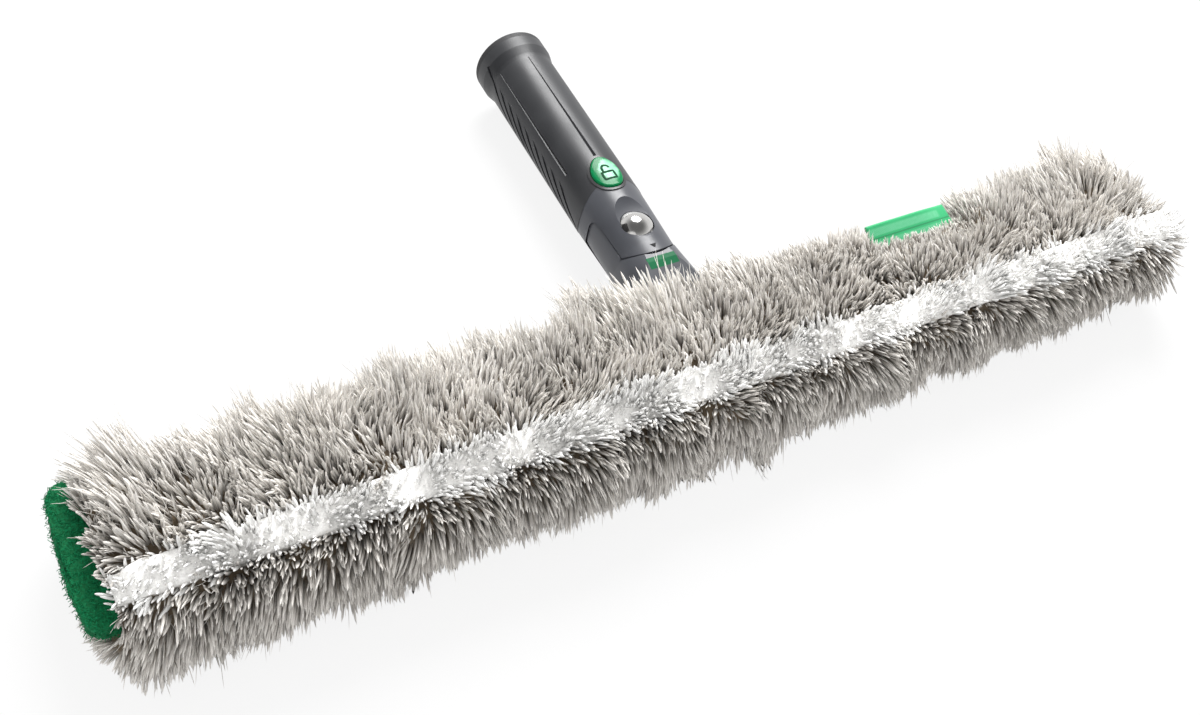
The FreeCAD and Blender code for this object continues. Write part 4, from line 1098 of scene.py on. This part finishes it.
def fibre_tree():
    """Short curled fibres all over a felted surface."""
    wiring, given = geometry_tree(
        "Felt fibres", Spacing="Float", Length="Float", Width="Float", Seed="Int", Material="Material"
    )
    seed = given["Seed"]
    spread = wiring.node("GeometryNodeDistributePointsOnFaces", {
        "Mesh": given["Geometry"], "Distance Min": given["Spacing"], "Density Max": 4.0e6, "Seed": seed,
    }, distribute_method="POISSON")
    roots = spread.outputs["Points"]
    stray = wiring.chance((-1, -1, -1), (1, 1, 1), wiring.plus(seed, 1), "FLOAT_VECTOR")
    way = wiring.vector("ADD", spread.outputs["Normal"], wiring.vector("SCALE", stray, scale=1.5))
    curl = wiring.chance((-1, -1, -1), (1, 1, 1), wiring.plus(seed, 2), "FLOAT_VECTOR")
    back = wiring.vector("SCALE", spread.outputs["Normal"], scale=-0.7)
    bend = wiring.vector("SCALE", wiring.vector("ADD", curl, back), scale=given["Length"])
    roots = wiring.store(roots, "bend", bend, "FLOAT_VECTOR")
    size = wiring.times(given["Length"], wiring.chance(0.5, 1.1, wiring.plus(seed, 3)))
    lines = bent_lines(wiring, roots, unit_line(wiring), way, size)[0]
    profile = wiring.out("GeometryNodeCurvePrimitiveCircle", "Curve", {"Resolution": 3, "Radius": 1.0})
    fibres = wiring.out("GeometryNodeCurveToMesh", "Mesh", {
        "Curve": lines, "Profile Curve": profile, "Scale": given["Width"],
    })
    fibres = wiring.shaped("SetShadeSmooth", fibres, {"Shade Smooth": True})
    return end_tree(wiring, fibres, given["Material"])


# The handle.


def cad_tree(name):
    """A CAD node's surface, to lay marks on."""
    mesh = NODES[name].data
    return BVHTree.FromPolygons([v.co for v in mesh.vertices], [p.vertices for p in mesh.polygons])


def ribbon(path, width, closed=False):
    """Corners and faces of a flat stroke of even width along a path in the XY plane."""
    count = len(path)
    corners, faces = [], []
    for number, spot in enumerate(path):
        before = path[number - 1] if number or closed else spot
        after = path[(number + 1) % count] if number < count - 1 or closed else spot
        way = (after - before).normalized()
        side = Vector((-way.y, way.x, 0)) * width / 2
        corners += [spot - side, spot + side]
    for number in range(count if closed else count - 1):
        first, second = 2 * number, 2 * ((number + 1) % count)
        faces.append((first, second, second + 1, first + 1))
    return corners, faces


def laid_mark(name, strokes, node, lift):
    """Flat strokes let down onto a CAD node's upper side and held just above it."""
    surface = cad_tree(node)
    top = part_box(node)[1].z + 1 * MM
    spots, faces = [], []
    for corners, sides in strokes:
        first = len(spots)
        for corner in corners:
            hit = surface.ray_cast(Vector((corner.x, corner.y, top)), -UP)[0]
            if hit is None:
                raise RuntimeError(name + " misses " + node)
            spots.append(hit + UP * lift)
        faces += [tuple(first + corner for corner in side) for side in sides]
    mesh = new_mesh(name, spots, faces)
    mesh.validate()
    return mesh


def arc_path(centre, radius, start, end, steps):
    path = []
    for step in range(steps + 1):
        angle = math.radians(start + (end - start) * step / steps)
        path.append(centre + Vector((math.cos(angle), math.sin(angle), 0)) * radius)
    return path


def straight(start, end, steps):
    return [start.lerp(end, step / steps) for step in range(steps + 1)]


def padlock_strokes(middle, size, width):
    """An open padlock in outline: a square body and a raised shackle."""
    half, low = size * 0.36, -size * 0.5
    body = []
    corners = [Vector((-half, low, 0)), Vector((half, low, 0)), Vector((half, 0, 0)), Vector((-half, 0, 0))]
    for number, corner in enumerate(corners):
        body += straight(middle + corner, middle + corners[(number + 1) % 4], 6)[:-1]
    radius = size * 0.22
    bow = middle + Vector((0, size * 0.26, 0))
    shackle = straight(middle + Vector((-radius, 0, 0)), bow - RIGHT * radius, 4)[:-1]
    shackle += arc_path(bow, radius, 180, 0, 12)
    return [ribbon(body, width, closed=True), ribbon(shackle, width)]


def pointer_stroke(tip, half, length):
    """A small triangle that points at the neck, in rows so that it follows a curved surface."""
    rows, columns, blunt = 4, 4, 0.04
    corners = []
    for row in range(rows + 1):
        share = max(blunt, row / rows)
        for column in range(columns + 1):
            corners.append(Vector((half * share * (2 * column / columns - 1), tip + length * share, 0)))
    return corners, grid_faces(columns, rows)


class SCRUBBER_OT_handle(bpy.types.Operator):
    """Give the handle, the swivel and the buttons their finish"""

    bl_idname = "scrubber.handle"
    bl_label = "Handle"

    def execute(self, context):
        look = settings().handle
        dress(moulded_material("grip_rubber", look.grip, 0.44, 3200.0, 0.10), "grip")
        dress(moulded_material("end_ring_grain", look.dark, 0.62, 900.0, 0.55), "end_ring")
        dress(moulded_material("dark_plastic", look.dark, 0.40), "button_frame", "socket_tube")
        dress(moulded_material("cap_plastic", look.dark, 0.5), "end_cap_left", "end_cap_right")
        head = moulded_material("head_plastic", look.head, 0.36, 2600.0, 0.06)
        dress(head, "swivel_head", "neck", "rear_cap")
        dress(self.button_material(look), "release_button")
        inlay = moulded_material("inlay_green", look.inlay, 0.50, 1500.0, 0.05, Specular_IOR_Level=0.15)
        dress(inlay, "badge_plate")
        dress(moulded_material("bearing_plastic", (0.55, 0.55, 0.50), 0.45), "pivot_bush", "friction_washers")
        dress(steel_material("polished_steel", tinted(look.steel, 0.8), 0.10), "lock_button")
        plain = steel_material("plain_steel", look.steel, 0.30)
        dress(plain, "neck_screws", "pivot_tube", "retaining_ring")
        dress(steel_material("bar_metal", (0.72, 0.72, 0.73), 0.34), "crossbar")
        return {"FINISHED"}

    @staticmethod
    def button_material(look):
        """Glossy green: deep at the rim; the paler, slightly cloudy middle, set a little right of centre, is
        a painted highlight.
        """
        low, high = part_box("release_button")
        material, wiring, shader = new_material(
            "button_green", Coat_Weight=0.05, Coat_Roughness=0.1, Specular_IOR_Level=0.15
        )
        made = place_group(wiring, "grain", {
            "Colour": rgba(look.button_highlight), "Roughness": 0.2, "Grain": 1500.0,
        })
        place = wiring.split(wiring.place())
        middle, half = (low + high) / 2, (high - low) / 2
        across = wiring.maths("DIVIDE", wiring.maths("SUBTRACT", place["X"], middle.x + 1.4 * MM), half.x)
        along = wiring.maths("DIVIDE", wiring.maths("SUBTRACT", place["Y"], middle.y + 0.4 * MM), half.y)
        rim = wiring.plus(wiring.times(across, across), wiring.times(along, along))
        cloudy = wiring.span(wiring.noise(wiring.place(), 300.0), 0.3, 0.7, -0.12, 0.12)
        rim = wiring.plus(rim, cloudy)
        # Painted highlight: the pale middle stands for the broad reflection on the button's top.
        share = wiring.span(rim, 0.20, 0.62, smooth=True)
        wiring.feed(shader, "Base Color", wiring.mixed(share, made.outputs["Color"], rgba(look.button)))
        wiring.feed(shader, "Roughness", made.outputs["Roughness"])
        return material


class SCRUBBER_OT_springs(bpy.types.Operator):
    """Make the two springs below the buttons"""

    bl_idname = "scrubber.springs"
    bl_label = "Springs"

    def execute(self, context):
        steel = steel_material("spring_steel", settings().handle.steel, 0.30)
        for name, node, joint in (
            ("button_coil", "button_spring", "release_press"),
            ("lock_coil", "lock_spring", "lock_press"),
        ):
            mesh = NODES[node].data.copy()
            mesh.transform(NODES[node].matrix_world)
            mesh.materials.clear()
            mesh.materials.append(steel)
            coil = new_piece(name, mesh, "handle", [node])
            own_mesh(coil)
        return {"FINISHED"}


class SCRUBBER_OT_marks(bpy.types.Operator):
    """Lay the padlock on the release button and the small pointer on the head"""

    bl_idname = "scrubber.marks"
    bl_label = "Marks"

    def execute(self, context):
        look = settings().handle
        low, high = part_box("release_button")
        middle = Vector((0, low.y + 0.47 * (high.y - low.y), 0))
        strokes = padlock_strokes(middle, 8.6 * MM, 1.2 * MM)
        mesh = laid_mark("padlock_mark", strokes, "release_button", 0.05 * MM)
        green = moulded_material("mark_green", look.mark, 0.6, 1500.0, 0.05, Specular_IOR_Level=0.1)
        mesh.materials.append(green)
        new_piece("padlock_mark", mesh, "release_button")
        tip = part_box("swivel_head")[0].y + 1.6 * MM
        mesh = laid_mark("pointer_mark", [pointer_stroke(tip, 1.7 * MM, 2.6 * MM)], "swivel_head", 0.05 * MM)
        mesh.materials.append(moulded_material("pointer_dark", look.dark, 0.6, Specular_IOR_Level=0.1))
        new_piece("pointer_mark", mesh, "handle")
        return {"FINISHED"}


# Stage.


class SCRUBBER_OT_stage(bpy.types.Operator):
    """Set up the floor, the light and the camera"""

    bl_idname = "scrubber.stage"
    bl_label = "Stage"

    def execute(self, context):
        stage = settings().stage
        scene = context.scene
        scene.view_settings.view_transform = "Standard"
        self.make_world(scene, stage)
        self.make_floor(stage)
        self.make_flag()
        self.lamp("key_lamp", Vector((0.45, 0.95, 1.15)), 0.9, stage.key)
        self.lamp("fill_lamp", Vector((-0.9, -0.7, 0.9)), 1.0, stage.fill)
        self.make_camera(scene)
        return {"FINISHED"}

    @staticmethod
    def seen(wiring):
        """1 for rays that show the background itself: from the camera, off metal and through glass."""
        rays = wiring.node("ShaderNodeLightPath").outputs
        some = wiring.maths("MAXIMUM", rays["Is Camera Ray"], rays["Is Glossy Ray"])
        return wiring.maths("MAXIMUM", some, rays["Is Transmission Ray"])

    def make_world(self, scene, stage):
        world = bpy.data.worlds.new("studio")
        world.use_nodes = True
        scene.world = world
        wiring = Wiring(world.node_tree)
        back = world.node_tree.nodes["Background"]
        back.inputs["Color"].default_value = (1, 1, 1, 1)
        way = wiring.split(wiring.place("Generated"))
        dim = wiring.span(way["Z"], 0.30, 0.92, 1.0, stage.ceiling, smooth=True)
        level = wiring.span(self.seen(wiring), 0.0, 1.0, stage.sky, dim)
        straight_on = wiring.node("ShaderNodeLightPath").outputs["Is Camera Ray"]
        wiring.feed(back, "Strength", wiring.maths("MAXIMUM", level, straight_on))

    def make_floor(self, stage):
        half, seen_share = 4.0, 0.86
        corners = [(-half, -half, 0), (half, -half, 0), (half, half, 0), (-half, half, 0)]
        mesh = new_mesh("floor", corners, [(0, 1, 2, 3)])
        floor = placed("floor", mesh)
        material, wiring, shader = new_material("pale_floor", Roughness=0.9, Specular_IOR_Level=0.0)
        shader.inputs["Base Color"].default_value = rgba(stage.floor)
        glow = wiring.out("ShaderNodeEmission", "Emission", {"Color": (1, 1, 1, 1), "Strength": 1.0})
        share = wiring.times(self.seen(wiring), seen_share)
        both = wiring.node("ShaderNodeMixShader", {0: share, 1: shader.outputs["BSDF"], 2: glow})
        wiring.feed(material.node_tree.nodes["Material Output"], "Surface", both.outputs[0])
        mesh.materials.append(material)

    @staticmethod
    def make_flag():
        """A dark card beside the handle's shaded side, which shows only as a reflection."""
        corners = [(-0.48, 0.02, 0.02), (-0.34, 0.55, 0.02), (-0.34, 0.55, 0.55), (-0.48, 0.02, 0.55)]
        mesh = new_mesh("flag", corners, [(0, 1, 2, 3)])
        flag = placed("flag", mesh)
        material, wiring, shader = new_material("flag_black", Roughness=1.0)
        shader.inputs["Base Color"].default_value = (0.01, 0.01, 0.01, 1)
        clear = wiring.out("ShaderNodeBsdfTransparent", "BSDF")
        reflected = wiring.node("ShaderNodeLightPath").outputs["Is Glossy Ray"]
        both = wiring.node("ShaderNodeMixShader", {0: reflected, 1: clear, 2: shader.outputs["BSDF"]})
        wiring.feed(material.node_tree.nodes["Material Output"], "Surface", both.outputs[0])
        mesh.materials.append(material)

    @staticmethod
    def lamp(name, spot, size, power):
        light = bpy.data.lights.new(name, "AREA")
        light.shape = "DISK"
        light.size = size
        light.energy = power
        made = placed(name, light)
        target = Vector((0, 0.05, 0.02))
        made.location = spot
        made.rotation_euler = (target - spot).to_track_quat("-Z", "Y").to_euler()

    @staticmethod
    def make_camera(scene):
        """The photograph's view, found from the bar, the handle and the flange."""
        camera = bpy.data.cameras.new("camera")
        camera.sensor_width = 36.0
        camera.lens = 36.19
        camera.clip_start = 0.01
        made = placed("camera", camera)
        eye = Vector((-0.2554, -0.2194, 0.4436))
        across = Vector((0.8703, -0.4620, 0.1706)).normalized()
        forward = Vector((0.3993, 0.4590, -0.7937)).normalized()
        upward = across.cross(forward).normalized()
        across = forward.cross(upward)
        turn = Matrix((across, upward, -forward)).transposed().to_4x4()
        made.matrix_world = Matrix.Translation(eye) @ turn
        scene.camera = made


class ScrubberSettings(bpy.types.PropertyGroup):
    """All settings of the scrubber."""

    fur: PointerProperty(type=ScrubberFur)
    cloth: PointerProperty(type=ScrubberCloth)
    handle: PointerProperty(type=ScrubberHandle)
    stage: PointerProperty(type=ScrubberStage)


class SCRUBBER_PT_panel(bpy.types.Panel):
    """The scrubber's settings and steps in the 3D view's sidebar"""

    bl_idname = "SCRUBBER_PT_panel"
    bl_label = "Window scrubber"
    bl_space_type = "VIEW_3D"
    bl_region_type = "UI"
    bl_category = "Scrubber"

    def draw(self, context):
        layout = self.layout
        for operator in OPERATORS:
            layout.operator(operator.bl_idname)
        for name in ("fur", "cloth", "handle", "stage"):
            part = getattr(context.scene.scrubber, name)
            for key in part.__annotations__:
                layout.prop(part, key)


OPERATORS = (
    SCRUBBER_OT_stage, SCRUBBER_OT_handle, SCRUBBER_OT_springs, SCRUBBER_OT_marks, SCRUBBER_OT_sleeve,
    SCRUBBER_OT_label, SCRUBBER_OT_pad, SCRUBBER_OT_fur,
)
CLASSES = (
    ScrubberFur, ScrubberCloth, ScrubberHandle, ScrubberStage, ScrubberSettings, *OPERATORS,
    SCRUBBER_PT_panel,
)


def register():
    for item in CLASSES:
        bpy.utils.register_class(item)
    bpy.types.Scene.scrubber = PointerProperty(type=ScrubberSettings)


def unregister():
    del bpy.types.Scene.scrubber
    for item in reversed(CLASSES):
        bpy.utils.unregister_class(item)


def main():
    register()
    bpy.ops.scrubber.stage()
    bpy.ops.scrubber.handle()
    bpy.ops.scrubber.springs()
    bpy.ops.scrubber.marks()
    bpy.ops.scrubber.sleeve()
    bpy.ops.scrubber.label()
    bpy.ops.scrubber.pad()
    bpy.ops.scrubber.fur()


if __name__ == "__main__":
    main()
